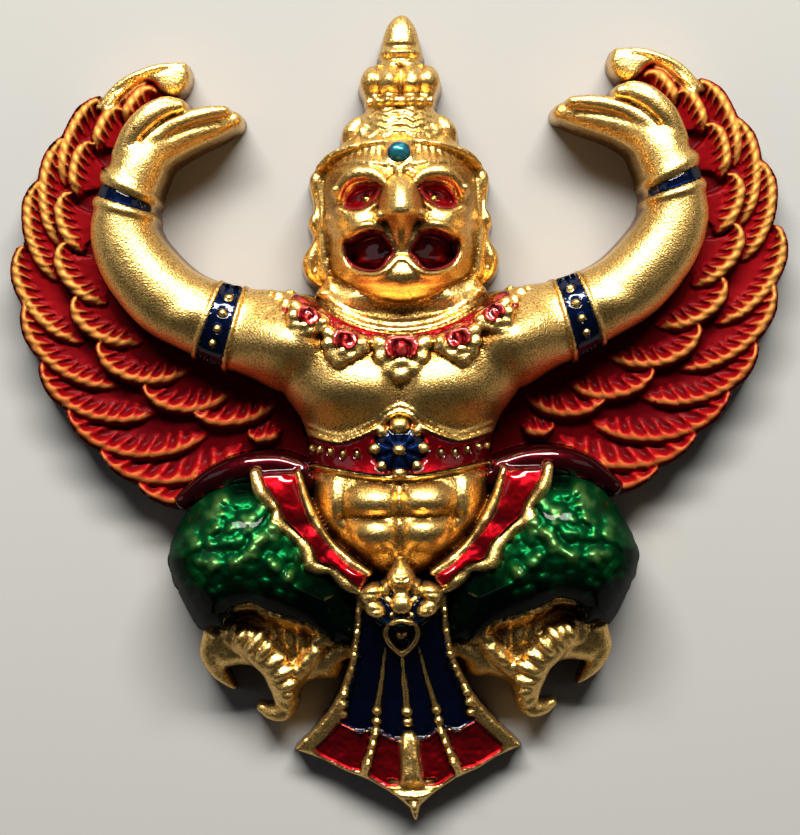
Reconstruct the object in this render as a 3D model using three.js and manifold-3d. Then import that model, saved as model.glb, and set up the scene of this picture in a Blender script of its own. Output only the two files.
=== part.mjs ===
// Garuda badge: a small figure cast in one piece of metal, with a flat back that it lies on.
// +X is to the viewer's right, +Y up the figure, +Z out of its front. Millimetres.
import * as THREE from "three";
import { mergeVertices } from "three/addons/utils/BufferGeometryUtils.js";
import Module from "manifold-3d";

// Driving dimensions
const height = 32.3; // crown tip to tail tip
const span = 30.2; // across both wings
const depth = 7.65; // flat back to beak

// The figure is drawn at this size, and each drawn length is a share of it.
const drawn = { height: 32.3, span: 30.2, depth: 7.65 };
const toSize = [span / drawn.span, height / drawn.height, depth / drawn.depth];

// Drawn sizes of the casting
const below = 1; // how far solids run under the back before it is cut flat
const draft = 0.1; // how far a wall leans out for each millimetre of its height
const shortestEdge = 0.06; // edges left shorter than this by the joins are drawn together

const wing = {
  centre: [-5.7, 5.8], // the fan's own centre, on the viewer's left
  radius: 9.4, // centre to the feather tips
  from: 113, // first and last angle of the plate behind the feathers
  to: 292,
  plateTops: [1.25, 1.5, 2.0], // the plate's level at its edge, under the second row and beside the arm
  plateInset: 0.28,
  secondRow: 7.6, // the second row's reach from the fan's centre
  ridgeFoot: 1.0, // how far a ridge runs inwards at its foot
};
// A row of feathers: tip angles; first and added per feather, its radius and how far it turns and sinks; its crest's levels
const primaries = { count: 9, first: 130, step: 13.9, radius: [9.4, 0], sweep: [21, 1.7], drop: [1.1, 0.22], crest: [1.95, 2.2] };
const coverts = { count: 9, first: 119, step: 15.2, radius: [8.85, -0.36], sweep: [19, 1.6], drop: [1.3, 0.1], crest: [2.15, 2.5] };
const armLine = [
  [-2.6, 3.0, 2.8, 1.9], [-4.3, 3.25, 2.75, 1.9], [-6.6, 3.85, 2.8, 1.6], [-8.1, 4.4, 2.85, 1.47], [-9.1, 4.95, 2.85, 1.45], [-9.95, 5.8, 2.85, 1.42],
  [-10.6, 6.75, 2.85, 1.36], [-10.88, 7.7, 2.85, 1.28], [-10.8, 8.8, 2.85, 1.15], [-10.5, 9.75, 2.85, 1.06], [-9.9, 10.8, 2.7, 1.0],
];
const armlet = { at: [-6.95, 4.0], along: [1, 0.36], steps: [[0.68, 1.76], [0.44, 1.76], [0.4, 1.64]] }; // half width and radius
const bangle = { at: [-10.62, 9.4], along: [0.3, 1], steps: [[0.72, 1.22], [0.3, 1.22], [0.26, 1.08]] };
const crownTip = 16.15;
const tailTip = -16.15;
const headBase = 2.7; // the level where head and crown are widest
const bodyBase = 2.5;
// Cross-sections [y, half width, rise above the widest level] from chin to crown tip, and from neck to belly
const headProfile = [
  [4.6, 0.6, 1.5], [4.85, 1.6, 2.2], [5.4, 2.4, 2.75], [6.4, 2.85, 3.15], [8.0, 2.75, 3.35], [9.6, 2.6, 3.1],
  [9.75, 3.0, 3.25], [10.25, 2.9, 3.2], [10.95, 2.2, 2.5], [11.1, 1.75, 2.0], [12.1, 1.4, 1.45], [12.3, 1.2, 1.2], [12.65, 1.38, 1.38],
  [12.9, 1.1, 1.1], [13.65, 1.1, 1.1], [14.1, 0.7, 0.7], [14.3, 0.82, 0.82], [14.85, 0.8, 0.8], [14.95, 0.64, 0.64], [15.5, 0.46, 0.46],
  [16.0, 0.22, 0.22], [crownTip, 0.04, 0.04],
];
const bodyProfile = [
  [6.0, 2.3, 1.6], [4.7, 3.6, 1.9], [3.6, 4.6, 2.5], [2.4, 4.9, 2.85], [1.2, 4.6, 2.8], [0.2, 3.95, 2.5], [-0.6, 3.6, 2.3], [-1.5, 3.5, 2.2],
  [-2.3, 3.55, 2.4], [-3.0, 3.45, 2.7], [-3.7, 3.2, 2.45], [-4.4, 2.8, 2.7], [-5.1, 2.1, 2.25], [-5.7, 1.5, 2.1], [-6.6, 0.8, 1.6],
];
const apron = { top: -6.4, corner: -13.15, waist: 1.25, flare: [0.5, 2.65], lean: 0.3, front: 4.4, hem: 1.75, ridge: 0.4 };
const thigh = {
  outline: [
    [-4.3, -2.4], [-6.0, -2.15], [-7.25, -2.4], [-8.3, -3.1], [-9.05, -4.2], [-9.38, -5.25], [-9.15, -6.3], [-8.65, -7.3], [-8.05, -8.2],
    [-6.9, -8.1], [-6.2, -7.1], [-5.0, -7.5], [-4.1, -6.3], [-3.8, -4.4],
  ],
  middle: [-6.75, -5.0],
  levels: [[1, 1.9], [0.92, 3.3], [0.72, 4.4], [0.42, 4.95]], // share of the outline and level
  top: 5.1,
};
const chest = {
  outline: [[0.1, 0.9], [0.3, 2.6], [-1.0, 3.9], [-3.2, 4.3], [-5.0, 4.1], [-5.3, 2.6], [-4.75, 1.2], [-3.9, 0.2], [-2.5, -0.25], [-1.0, 0.1]],
  middle: [-2.3, 2.5],
  levels: [[1, 2.4], [0.96, 3.5], [0.86, 4.2], [0.6, 4.7]],
  top: 4.95,
};

const radians = THREE.MathUtils.degToRad;
const wasm = await Module();
wasm.setup();

// A closed geometry, brought to size, as a solid
function solid(geometry) {
  const bare = new THREE.BufferGeometry();
  bare.setAttribute("position", geometry.getAttribute("position").clone());
  if (geometry.index) bare.setIndex(geometry.index.clone());
  bare.scale(...toSize);
  const merged = mergeVertices(bare, 1e-4);
  return new wasm.Manifold(
    new wasm.Mesh({
      numProp: 3,
      vertProperties: new Float32Array(merged.attributes.position.array),
      triVerts: new Uint32Array(merged.index.array),
    }),
  );
}

// A three.js geometry with its corners shared and nothing but its points
function bareOf(geometry) {
  const bare = geometry.clone();
  bare.deleteAttribute("normal");
  bare.deleteAttribute("uv");
  return mergeVertices(bare);
}

// The same geometry on the viewer's right
function mirrored(geometry) {
  const copy = geometry.clone().scale(-1, 1, 1);
  const index = copy.index.array;
  for (let i = 0; i < index.length; i += 3) [index[i + 1], index[i + 2]] = [index[i + 2], index[i + 1]];
  return copy;
}

// Six times the volume inside a closed skin, less than nothing where its faces point in
function signedVolume(points, index) {
  let sum = 0;
  for (let i = 0; i < index.length; i += 3) {
    const [a, b, c] = [0, 1, 2].map((k) => points[index[i + k]]);
    sum += a[0] * (b[1] * c[2] - b[2] * c[1]) + a[1] * (b[2] * c[0] - b[0] * c[2]) + a[2] * (b[0] * c[1] - b[1] * c[0]);
  }
  return sum;
}

// Rings of equal length joined into one closed skin; the last end can rise to a level of its own
function loft(rings, apex) {
  const around = rings[0].length;
  const points = rings.flat();
  const index = [];
  for (let r = 0; r + 1 < rings.length; r++)
    for (let i = 0; i < around; i++) {
      const a = r * around + i;
      const b = r * around + ((i + 1) % around);
      index.push(a, b, a + around, b, b + around, a + around);
    }
  const last = (rings.length - 1) * around;
  for (const start of [0, last]) {
    const ring = points.slice(start, start + around);
    const middle = ring.reduce((sum, p) => sum.map((v, k) => v + p[k] / around), [0, 0, 0]);
    if (start > 0 && apex !== undefined) middle[2] = apex;
    points.push(middle);
    for (let i = 0; i < around; i++) {
      const [a, b] = [start + i, start + ((i + 1) % around)];
      if (start === 0) index.push(b, a, points.length - 1);
      else index.push(a, b, points.length - 1);
    }
  }
  if (signedVolume(points, index) < 0) index.reverse();
  const geometry = new THREE.BufferGeometry();
  geometry.setAttribute("position", new THREE.Float32BufferAttribute(points.flat(), 3));
  geometry.setIndex(index);
  return geometry;
}

// A smooth path through [x, y, z, size] points, as evenly spaced stations with a sideways direction
function stations(points, steps) {
  const place = new THREE.CatmullRomCurve3(points.map(([x, y, z]) => new THREE.Vector3(x, y, z)));
  const size = new THREE.CatmullRomCurve3(points.map((p) => new THREE.Vector3(p[3], 0, 0)));
  return Array.from({ length: steps + 1 }, (_, i) => {
    const p = place.getPoint(i / steps);
    const t = place.getTangent(i / steps);
    const flat = Math.hypot(t.x, t.y) || 1;
    return { p, r: size.getPoint(i / steps).x, side: [t.y / flat, -t.x / flat] };
  });
}

// A bar along a path with a round top, its walls running down to the back
function limb(points, steps = 6, sides = 4) {
  return loft(stations(points, steps).map(({ p, r, side }) => barSection([p.x, p.y, p.z], r, side, sides)));
}

// The same bar straight from point to point
function barThrough(points, sides) {
  const [first, last] = [points[0], points.at(-1)];
  const length = Math.hypot(last[0] - first[0], last[1] - first[1]);
  const side = [(last[1] - first[1]) / length, (first[0] - last[0]) / length];
  return loft(points.map(([x, y, z, r]) => barSection([x, y, z], r, side, sides)));
}

function barSection([x, y, z], r, side, sides) {
  const at = (out, level) => [x + side[0] * out, y + side[1] * out, level];
  const foot = r + draft * (z + below);
  const top = Array.from({ length: sides + 1 }, (_, i) => {
    const a = (Math.PI * i) / sides;
    return at(-r * Math.cos(a), z + r * Math.sin(a));
  });
  return [at(foot, -below), at(-foot, -below), ...top];
}

// A band between two rims, each a path of [x, y, z], with a trough between them
function trough(outer, inner, steps, rim, dip) {
  const pad = (points) => points.map(([x, y, z]) => [x, y, z, 0]);
  const [a, b] = [stations(pad(outer), steps), stations(pad(inner), steps)];
  return loft(
    a.map(({ p }, i) => {
      const q = b[i].p;
      const width = Math.hypot(q.x - p.x, q.y - p.y);
      const at = (t, z) => [p.x + (q.x - p.x) * t, p.y + (q.y - p.y) * t, z];
      const lip = rim / width;
      return [at(1, -below), at(0, -below), at(0, p.z), at(lip, p.z - dip), at(1 - lip, q.z - dip), at(1, q.z)];
    }),
  );
}

// A rounded mound: an ellipsoid's top half over walls that run down to the back
function dome([x, y, z], [rx, ry, rz], turn = 0, sides = 10, levels = 3) {
  const c = Math.cos(radians(turn));
  const s = Math.sin(radians(turn));
  const ring = (share, level, spread = 0) =>
    Array.from({ length: sides }, (_, i) => {
      const a = (2 * Math.PI * (i + 0.5)) / sides;
      const u = (rx * share + spread) * Math.cos(a);
      const v = (ry * share + spread) * Math.sin(a);
      return [x + u * c - v * s, y + u * s + v * c, level];
    });
  const rings = [ring(1, -below, draft * (z + below))];
  for (let i = 0; i < levels; i++) {
    const a = (Math.PI / 2) * (i / levels);
    rings.push(ring(Math.cos(a), z + rz * Math.sin(a)));
  }
  return loft(rings, z + rz);
}

// A rounded pad inside an outline, which shrinks towards its middle as it rises
function pad({ outline, middle: [x, y], levels, top }) {
  const ring = (share, level) => outline.map(([px, py]) => [x + (px - x) * share, y + (py - y) * share, level]);
  return loft([ring(1, -below), ...levels.map(([share, level]) => ring(share, level))], top);
}

// A small bud: the upper half of a ball, and a foot that runs into whatever it sits on
function bud([x, y, z], [rx, ry, rz], turn = 0, sides = 6) {
  const c = Math.cos(radians(turn));
  const s = Math.sin(radians(turn));
  const ring = (share, level) =>
    Array.from({ length: sides }, (_, i) => {
      const a = (2 * Math.PI * i) / sides;
      const [u, v] = [rx * share * Math.cos(a), ry * share * Math.sin(a)];
      return [x + u * c - v * s, y + u * s + v * c, level];
    });
  return loft([ring(0.9, z - 3 * rz), ring(1, z), ring(0.7, z + 0.7 * rz)], z + rz);
}

// A flower head: petals round a raised middle
function flower([x, y, z], radius, petals, rise) {
  const ring = (share, notch, level) =>
    Array.from({ length: 2 * petals }, (_, i) => {
      const a = (Math.PI * i) / petals;
      const r = radius * share * (i % 2 ? notch : 1);
      return [x + r * Math.sin(a), y + r * Math.cos(a), level];
    });
  return loft([ring(0.9, 0.8, z - 2), ring(1, 0.8, z), ring(0.7, 0.75, z + 0.6 * rise), ring(0.4, 0.95, z + 0.35 * rise)], z + rise);
}

// A rounded body lying along y, given by its cross-sections, on walls that run down to the back; below 1, roundness flattens its front
function body(profile, base, sides, roundness = 1) {
  return loft(
    profile.map(([y, halfWidth, rise]) => {
      const foot = halfWidth + 0.02;
      const top = Array.from({ length: sides + 1 }, (_, i) => {
        const a = (Math.PI * i) / sides;
        return [halfWidth * Math.cos(a), y, base + rise * Math.max(0, Math.sin(a)) ** roundness];
      });
      return [[-foot, y, -below], [foot, y, -below], ...top];
    }),
  );
}

const pieces = [];
const hollows = [];
const centred = (...geometries) => geometries.forEach((g) => pieces.push(solid(g)));
const bothSides = (...geometries) => geometries.forEach((g) => centred(g, mirrored(g)));

// Wings: a plate that rises towards the arm, and two rows of feathers, each a curved ridge
const wingPoint = (r, a) => [wing.centre[0] + r * Math.cos(radians(a)), wing.centre[1] + r * Math.sin(radians(a))];
const between = (a, b, t) => a + (b - a) * THREE.MathUtils.smoothstep(t, 0, 1);
const behindArm = (a) => between(between(7.9, 4.9, (a - 101) / 45), 1.8, (a - 205) / 40);

function wingPlate() {
  const steps = 12;
  const [edge, middle, inside] = wing.plateTops;
  return loft(
    Array.from({ length: steps + 1 }, (_, i) => {
      const a = wing.from + ((wing.to - wing.from) * i) / steps;
      const outer = wingPoint(wing.radius - wing.plateInset, a);
      const step = wingPoint(Math.max(wing.secondRow - 0.02 * (a - 150), behindArm(a) + 0.4), a);
      const inner = wingPoint(behindArm(a), a);
      return [[...outer, -below], [...outer, edge], [...step, middle], [...inner, inside], [...inner, -below]];
    }),
  );
}

function feather(row, k) {
  const shares = [0, 0.12, 0.42, 0.72, 1];
  const ofRow = ([first, more]) => first + more * k;
  const tipAngle = row.first + row.step * k;
  const crest = shares.map((s) => {
    const roundTip = 0.45 * Math.max(0, 1 - s / 0.12) ** 2;
    return wingPoint(ofRow(row.radius) - ofRow(row.drop) * s ** 2 - roundTip, tipAngle + ofRow(row.sweep) * s);
  });
  return loft(
    crest.map(([x, y], i) => {
      const s = shares[i];
      const [x0, y0] = crest[Math.max(i - 1, 0)];
      const [x1, y1] = crest[Math.min(i + 1, crest.length - 1)];
      const length = Math.hypot(x1 - x0, y1 - y0);
      const inward = [-(y1 - y0) / length, (x1 - x0) / length];
      const at = (out, z) => [x + inward[0] * out, y + inward[1] * out, z];
      const level = row.crest[0] + (row.crest[1] - row.crest[0]) * s - 0.3 * Math.max(0, 1 - s / 0.12);
      return [at(wing.ridgeFoot, -below), at(0.1, level), at(-0.12, -below)];
    }),
  );
}

bothSides(wingPlate());
for (const row of [primaries, coverts]) for (let k = 0; k < row.count; k++) bothSides(feather(row, k));
bothSides(
  limb([[-13.1, 11.0, 1.2, 0.4], [-11.7, 13.0, 1.35, 0.5], [-10.2, 14.0, 1.45, 0.5], [-8.25, 14.35, 1.4, 0.12]], 5, 3),
);

// Arms, each raised from the shoulder and bent inwards to the palm, with an armlet and a double bangle
bothSides(limb(armLine, 10, 4));

// A band round the arm, its raised edges given by steps of [half width, radius]
function armBand({ at: [x, y], along: [dx, dy], steps }) {
  const length = Math.hypot(dx, dy);
  const half = steps.map(([w, r]) => [x + (dx * w) / length, y + (dy * w) / length, 2.8, r]);
  const other = steps.map(([w, r]) => [x - (dx * w) / length, y - (dy * w) / length, 2.8, r]);
  return barThrough([...other, ...half.toReversed()], 4);
}
bothSides(armBand(armlet), armBand(bangle));

// Hands: a palm that runs out into closed fingers, the foremost of them in front, and a thumb
bothSides(
  limb([[-10.3, 10.1, 2.75, 1.04], [-9.6, 11.1, 2.6, 0.95], [-8.8, 11.5, 2.4, 0.8], [-7.9, 11.8, 2.25, 0.66], [-7.1, 12.03, 2.15, 0.52], [-6.5, 12.15, 2.1, 0.32]], 6, 4),
  limb([[-9.7, 11.45, 3.2, 0.3], [-8.6, 12.05, 3.15, 0.32], [-7.6, 12.38, 3.0, 0.28], [-6.8, 12.48, 2.85, 0.16]], 3, 3),
  limb([[-10.8, 10.7, 3.0, 0.46], [-10.35, 11.6, 3.25, 0.48], [-9.7, 12.27, 3.35, 0.46], [-9.08, 12.62, 3.3, 0.4], [-8.55, 12.7, 3.2, 0.22]], 5, 3),
);

// Torso with its chest and belly muscles, and the web behind it that joins the legs
centred(body(bodyProfile, bodyBase, 8, 0.7), dome([0, -3.6, 0.9], [4.8, 4.6, 0.3], 0, 10, 1));
bothSides(pad(chest));

// Belt and its flower
centred(
  limb([[-3.6, -1.15, 2.9, 0.66], [-2.4, -1.3, 3.95, 0.7], [0, -1.1, 4.35, 0.85], [2.4, -1.3, 3.95, 0.7], [3.6, -1.15, 2.9, 0.66]], 6, 4),
  flower([0, -1.12, 4.85], 1.05, 8, 0.55),
);

// Necklace with pendants
const arc = (halfWidth, topY, lowY, sideZ, lowZ) =>
  [-1, -0.67, -0.33, 0, 0.33, 0.67, 1].map((u) => [halfWidth * u, lowY + (topY - lowY) * u * u, lowZ + (sideZ - lowZ) * u * u]);
centred(
  trough(arc(4.5, 5.3, 3.62, 4.3, 5.4), arc(4.3, 4.6, 2.8, 4.4, 5.6), 6, 0.2, 0.16),
  bud([0, 2.5, 5.35], [0.75, 0.8, 0.55], 0, 8),
);
bothSides(bud([-2.0, 3.0, 5.25], [0.6, 0.42, 0.4], -25), bud([-3.6, 4.05, 4.6], [0.5, 0.4, 0.4], -35));

// Head and crown, with cheeks, brows, hooked beak, mouth rims and ears
centred(
  body(headProfile, headBase, 6),
  limb([[0, 9.5, 5.3, 0.42], [0, 8.9, 5.9, 0.6], [0, 8.2, 6.55, 0.82], [0, 7.5, 6.95, 0.76], [0, 6.9, 6.85, 0.5], [0, 6.45, 6.3, 0.15]], 6),
);
bothSides(
  limb([[-2.65, 7.85, 4.6, 0.25], [-1.95, 7.98, 5.05, 0.42], [-1.25, 7.85, 5.4, 0.4], [-0.7, 7.75, 5.7, 0.28]], 3, 3),
  limb([[-2.4, 8.95, 4.9, 0.18], [-1.75, 9.5, 5.35, 0.24], [-1.0, 9.55, 5.7, 0.24], [-0.45, 9.25, 5.9, 0.2]], 3, 3),
  limb([[-2.35, 6.9, 5.0, 0.2], [-1.95, 6.1, 5.3, 0.22], [-1.1, 5.85, 5.6, 0.22], [-0.5, 6.25, 5.9, 0.22], [0.04, 6.45, 5.9, 0.2]], 4, 3),
  limb([[-2.65, 10.0, 3.0, 0.18], [-2.8, 9.6, 3.1, 0.28], [-2.75, 8.5, 3.1, 0.18], [-2.9, 7.95, 3.1, 0.24], [-2.85, 7.3, 3.0, 0.18], [-3.1, 6.4, 2.8, 0.38],
    [-2.85, 5.5, 2.6, 0.16]], 6, 3),
);
for (const side of [-1, 1])
  for (const [x, y, z, rx, ry, rz] of [[1.5, 8.8, 5.75, 0.75, 0.42, 0.75], [1.3, 6.75, 6.1, 0.85, 0.62, 0.95]])
    hollows.push(solid(bareOf(new THREE.SphereGeometry(1, 7, 4).scale(rx, ry, rz).translate(side * x, y, z))));

// The crown's gem, and buds round its front
centred(bud([0, 10.5, 5.75], [0.5, 0.45, 0.4], 0, 8));
const roundCrown = (count, r, y, radii, sides) => {
  for (let k = 0; k < count; k++) {
    const a = (Math.PI * (k + 0.5)) / count;
    centred(bud([r * Math.cos(a), y, headBase + r * Math.sin(a)], radii, 0, sides));
  }
};
roundCrown(5, 1.0, 13.4, [0.4, 0.55, 0.35], 5);
roundCrown(2, 1.85, 11.45, [0.5, 0.6, 0.35], 6);

// Squatting legs: thigh and shin, a cuff, and a bird's foot with claws
bothSides(
  pad(thigh),
  limb([[-6.0, -5.3, 2.2, 2.1], [-4.6, -5.95, 2.2, 1.8], [-3.2, -6.9, 2.2, 1.65], [-0.8, -7.5, 2.1, 1.6]], 4, 5),
  limb([[-6.85, -7.9, 2.8, 0.16], [-6.6, -7.25, 3.3, 0.2], [-5.5, -7.25, 3.3, 0.2], [-4.4, -7.7, 3.2, 0.2], [-3.4, -8.15, 3.0, 0.2], [-2.7, -8.7, 2.8, 0.16]], 5, 2),
  limb([[-1.0, -9.0, 1.9, 0.9], [-4.2, -8.7, 1.9, 1.0], [-5.9, -8.2, 1.9, 0.9]], 3),
  limb([[-6.4, -8.1, 2.2, 0.6], [-7.5, -8.6, 2.2, 0.58], [-7.72, -9.2, 2.0, 0.46], [-7.5, -9.85, 1.9, 0.34], [-6.92, -10.6, 1.7, 0.08]], 5, 3),
  limb([[-7.0, -8.35, 2.5, 0.5], [-6.3, -8.5, 2.9, 0.6], [-5.6, -9.05, 2.95, 0.66], [-5.1, -9.7, 2.8, 0.64], [-4.87, -10.4, 2.5, 0.58],
    [-4.8, -11.1, 2.2, 0.46], [-5.0, -11.6, 2.0, 0.36], [-5.45, -11.65, 1.9, 0.3], [-5.86, -11.42, 1.8, 0.14]], 9, 3),
  limb([[-2.2, -9.2, 2.2, 0.75], [-3.4, -9.35, 2.5, 0.7], [-4.2, -9.8, 2.7, 0.6], [-4.9, -10.1, 2.6, 0.5]], 3),
);

// Sash: a wavy ribbon with raised edges from each hip to the clasp
bothSides(
  trough(
    [[-5.6, -2.1, 4.6], [-5.1, -3.0, 5.2], [-5.05, -3.75, 5.3], [-4.25, -4.3, 5.2], [-3.8, -5.1, 5.1], [-2.9, -5.6, 5.0], [-2.2, -6.3, 4.9], [-1.3, -6.75, 4.8]],
    [[-4.0, -2.1, 4.3], [-3.72, -3.0, 4.6], [-3.35, -3.9, 4.7], [-2.8, -4.7, 4.75], [-2.1, -5.4, 4.8], [-1.5, -5.8, 4.85], [-1.2, -6.0, 4.9], [-0.9, -6.1, 4.9]],
    9,
    0.28,
    0.35,
  ),
);

// Apron: a flaring panel with a pointed hem, raised edges and three ribs
const apronHalf = (v) => apron.waist + apron.flare[0] * v + apron.flare[1] * v ** 3;
const apronZ = (v) => apron.front - (apron.front - apron.hem) * v ** 1.3;
const apronAcross = [[-1, 1], [-0.84, 0.1], [-0.5, 0], [-0.36, 1], [-0.2, 0], [0, 1], [0.2, 0], [0.36, 1], [0.5, 0], [0.84, 0.1], [1, 1]];
const apronAlong = [0, 0.3, 0.55, 0.75, 0.92, 1];
centred(
  loft(
    apronAlong.map((v, j) => {
      const spread = (u) => [
        apronHalf(v) * u + apron.lean * v ** 3 * (1 - Math.abs(u)),
        apron.top + (apron.corner - apron.top) * v + (tailTip - apron.corner) * v ** 3 * Math.max(0, 1 - Math.abs(u)) ** 1.4,
      ];
      const ridge = (u, share) => {
        const rib = Math.abs(u) === 1 ? 1 : THREE.MathUtils.smoothstep(v, 0.3, 0.6);
        return j === apronAlong.length - 1 ? 1 : share * rib;
      };
      const top = apronAcross.map(([u, share]) => [...spread(u), apronZ(v) - 0.25 * u * u + apron.ridge * ridge(u, share)]);
      return [...top.map(([x, y]) => [x, y, -below]), ...top.toReversed()];
    }),
  ),
);

// Clasp over the apron: a leaf, side petals and a bead on a flower, with a drop below it
centred(
  flower([0, -7.0, 4.6], 1.2, 8, 0.4),
  bud([0, -6.1, 4.95], [0.5, 0.75, 0.45], 0, 8),
  bud([0, -7.1, 5.0], [0.4, 0.4, 0.4], 0, 8),
  bud([0, -8.45, 4.3], [0.55, 0.7, 0.35], 0, 8),
);
bothSides(bud([-1.12, -6.72, 4.75], [0.52, 0.38, 0.42], 25), bud([-1.0, -7.35, 4.7], [0.48, 0.34, 0.4], -25));

// Everything joined, hollowed at the eyes and mouth, and cut flat at the back
const casting = pieces.reduce((sum, piece) => sum.add(piece));
const carved = hollows.reduce((left, hollow) => left.subtract(hollow), casting);
const slabSize = 4 * Math.max(height, span);
const underside = new THREE.BoxGeometry(slabSize, slabSize, slabSize).translate(0, 0, -slabSize / 2);
const finished = carved.subtract(solid(bareOf(underside)));

// Draws short edges together, one end onto the other, where no face would turn over by it
function withoutShortEdges(points, faces) {
  const around = points.map(() => new Set());
  faces.forEach((face, f) => face.forEach((v) => around[v].add(f)));
  const neighbours = (v) => new Set([...around[v]].flatMap((f) => faces[f]).filter((n) => n !== v));
  const normal = ([a, b, c]) => {
    const edge = new THREE.Vector3().subVectors(points[b], points[a]);
    return edge.cross(new THREE.Vector3().subVectors(points[c], points[a]));
  };
  const tryEdge = (a, b) => {
    const [kept, gone] = points[a].z <= points[b].z ? [a, b] : [b, a];
    const near = neighbours(gone);
    if ([...neighbours(kept)].filter((n) => near.has(n)).length !== 2) return false;
    const moving = [...around[gone]].filter((f) => !faces[f].includes(kept));
    const turned = moving.map((f) => faces[f].map((v) => (v === gone ? kept : v)));
    const turnsOver = (f, i) => {
      const [before, after] = [normal(faces[f]), normal(turned[i])];
      return before.length() > 1e-4 && before.dot(after) < 0.2 * before.length() * after.length();
    };
    if (moving.some(turnsOver)) return false;
    for (const f of around[gone]) if (!moving.includes(f)) faces[f].forEach((v) => v !== gone && around[v].delete(f));
    for (const f of around[gone]) if (!moving.includes(f)) faces[f] = null;
    moving.forEach((f, i) => {
      faces[f] = turned[i];
      around[kept].add(f);
    });
    around[gone].clear();
    return true;
  };
  for (let again = true; again; ) {
    again = false;
    for (let f = 0; f < faces.length; f++)
      for (let i = 0; i < 3 && faces[f]; i++) {
        const [a, b] = [faces[f][i], faces[f][(i + 1) % 3]];
        if (points[a].distanceTo(points[b]) < shortestEdge && tryEdge(a, b)) again = true;
      }
  }
  return faces.filter((face) => face !== null);
}

// A solid as a three.js geometry
function geometryOf(manifold) {
  const { vertProperties, triVerts } = manifold.getMesh();
  const points = Array.from({ length: vertProperties.length / 3 }, (_, i) => new THREE.Vector3().fromArray(vertProperties, 3 * i));
  const faces = Array.from({ length: triVerts.length / 3 }, (_, i) => Array.from(triVerts.subarray(3 * i, 3 * i + 3)));
  const used = withoutShortEdges(points, faces).flat();
  const geometry = new THREE.BufferGeometry();
  geometry.setAttribute("position", new THREE.Float32BufferAttribute(used.flatMap((v) => points[v].toArray()), 3));
  const shared = mergeVertices(geometry, 1e-5);
  shared.computeVertexNormals();
  return shared;
}

const figure = new THREE.Mesh(
  geometryOf(finished),
  new THREE.MeshStandardMaterial({ color: 0xd9a441, roughness: 0.35, metalness: 1 }),
);
figure.name = "garuda_casting";

const badge = new THREE.Group();
badge.add(figure);
export default badge;
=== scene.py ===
# A small cast garuda badge, gold plated and enamelled, lying on its flat back.
# The cast relief is worked out as heights in millimetres and turned into one closed casting.
# Four enamel skins sit in it: satin red on the wings, and clear red, green and blue over the bright metal.
from math import cos, degrees, hypot, pi, radians, sin

import bpy
import numpy as np
import openvdb
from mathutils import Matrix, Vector


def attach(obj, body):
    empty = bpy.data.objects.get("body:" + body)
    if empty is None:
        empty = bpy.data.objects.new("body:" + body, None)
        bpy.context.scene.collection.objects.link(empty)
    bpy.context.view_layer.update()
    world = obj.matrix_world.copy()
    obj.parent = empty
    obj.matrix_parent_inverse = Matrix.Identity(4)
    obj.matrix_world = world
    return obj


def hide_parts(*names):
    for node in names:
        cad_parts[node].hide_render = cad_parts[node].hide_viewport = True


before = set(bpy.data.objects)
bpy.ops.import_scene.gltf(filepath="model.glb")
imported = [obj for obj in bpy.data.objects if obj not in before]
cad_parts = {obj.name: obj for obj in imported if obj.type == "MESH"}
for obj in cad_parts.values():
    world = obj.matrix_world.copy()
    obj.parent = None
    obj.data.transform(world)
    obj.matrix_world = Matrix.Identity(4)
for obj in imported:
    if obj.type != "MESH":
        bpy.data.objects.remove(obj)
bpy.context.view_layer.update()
millimetre = 0.001


def placed(name, data):
    obj = bpy.data.objects.new(name, data)
    bpy.context.collection.objects.link(obj)
    return obj


def smoothMax(a, b, blend):
    return np.maximum(a, b) + np.maximum(blend - np.abs(a - b), 0) ** 2 / (4 * blend)


def ease(t):  # from 0 to 1 without a corner
    t = np.clip(t, 0, 1)
    return t * t * (3 - 2 * t)


def mixed(a, b, t):  # a where t is 0 and b where it is 1
    return a * (1 - t) + b * t


def dome(q, power=0.5):
    return np.maximum(1 - q, 0) ** power


def settle(values, where, won, new):  # changes what is in a window where a test holds
    values[where] = np.where(won, new, values[where])


def curve(points, steps=6):  # rows of numbers joined by a smooth line through all of them
    p = np.array(points, float)
    padded = np.vstack([2 * p[0] - p[1], p, 2 * p[-1] - p[-2]])
    a, b, c, d = (padded[k : k + len(p) - 1, None] for k in range(4))
    t = (np.arange(steps) / steps)[:, None]
    bend = (2 * a - 5 * b + 4 * c - d) * t**2 + (3 * b - 3 * c + d - a) * t**3
    return np.vstack([(0.5 * (2 * b + (c - a) * t + bend)).reshape(-1, p.shape[1]), p[-1]])


def blurred(a, pitch, radius):  # three box means each way, close to a Gaussian
    n = max(1, round(radius / pitch))
    width = 2 * n + 1
    for _ in range(6):
        total = np.cumsum(np.pad(a, ((n + 1, n), (0, 0)), "edge"), 0)
        a = ((total[width:] - total[:-width]) / width).T
    return a


def lumpy(X, Y, size, seed):  # smooth random numbers from -1 to 1
    table = np.random.default_rng(seed).uniform(-1, 1, (61, 61))
    i, j = np.floor(X / size).astype(int), np.floor(Y / size).astype(int)
    a, b = ease(X / size - i), ease(Y / size - j)
    low, high = (mixed(table[k % 61, i % 61], table[k % 61, (i + 1) % 61], a) for k in (j, j + 1))
    return mixed(low, high, b)


bare, feathered, redCell, scaled, blueCell, gem = range(6)  # what covers the metal
steep = 22.0  # how fast the walls of a raised form fall, in mm for each mm


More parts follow.
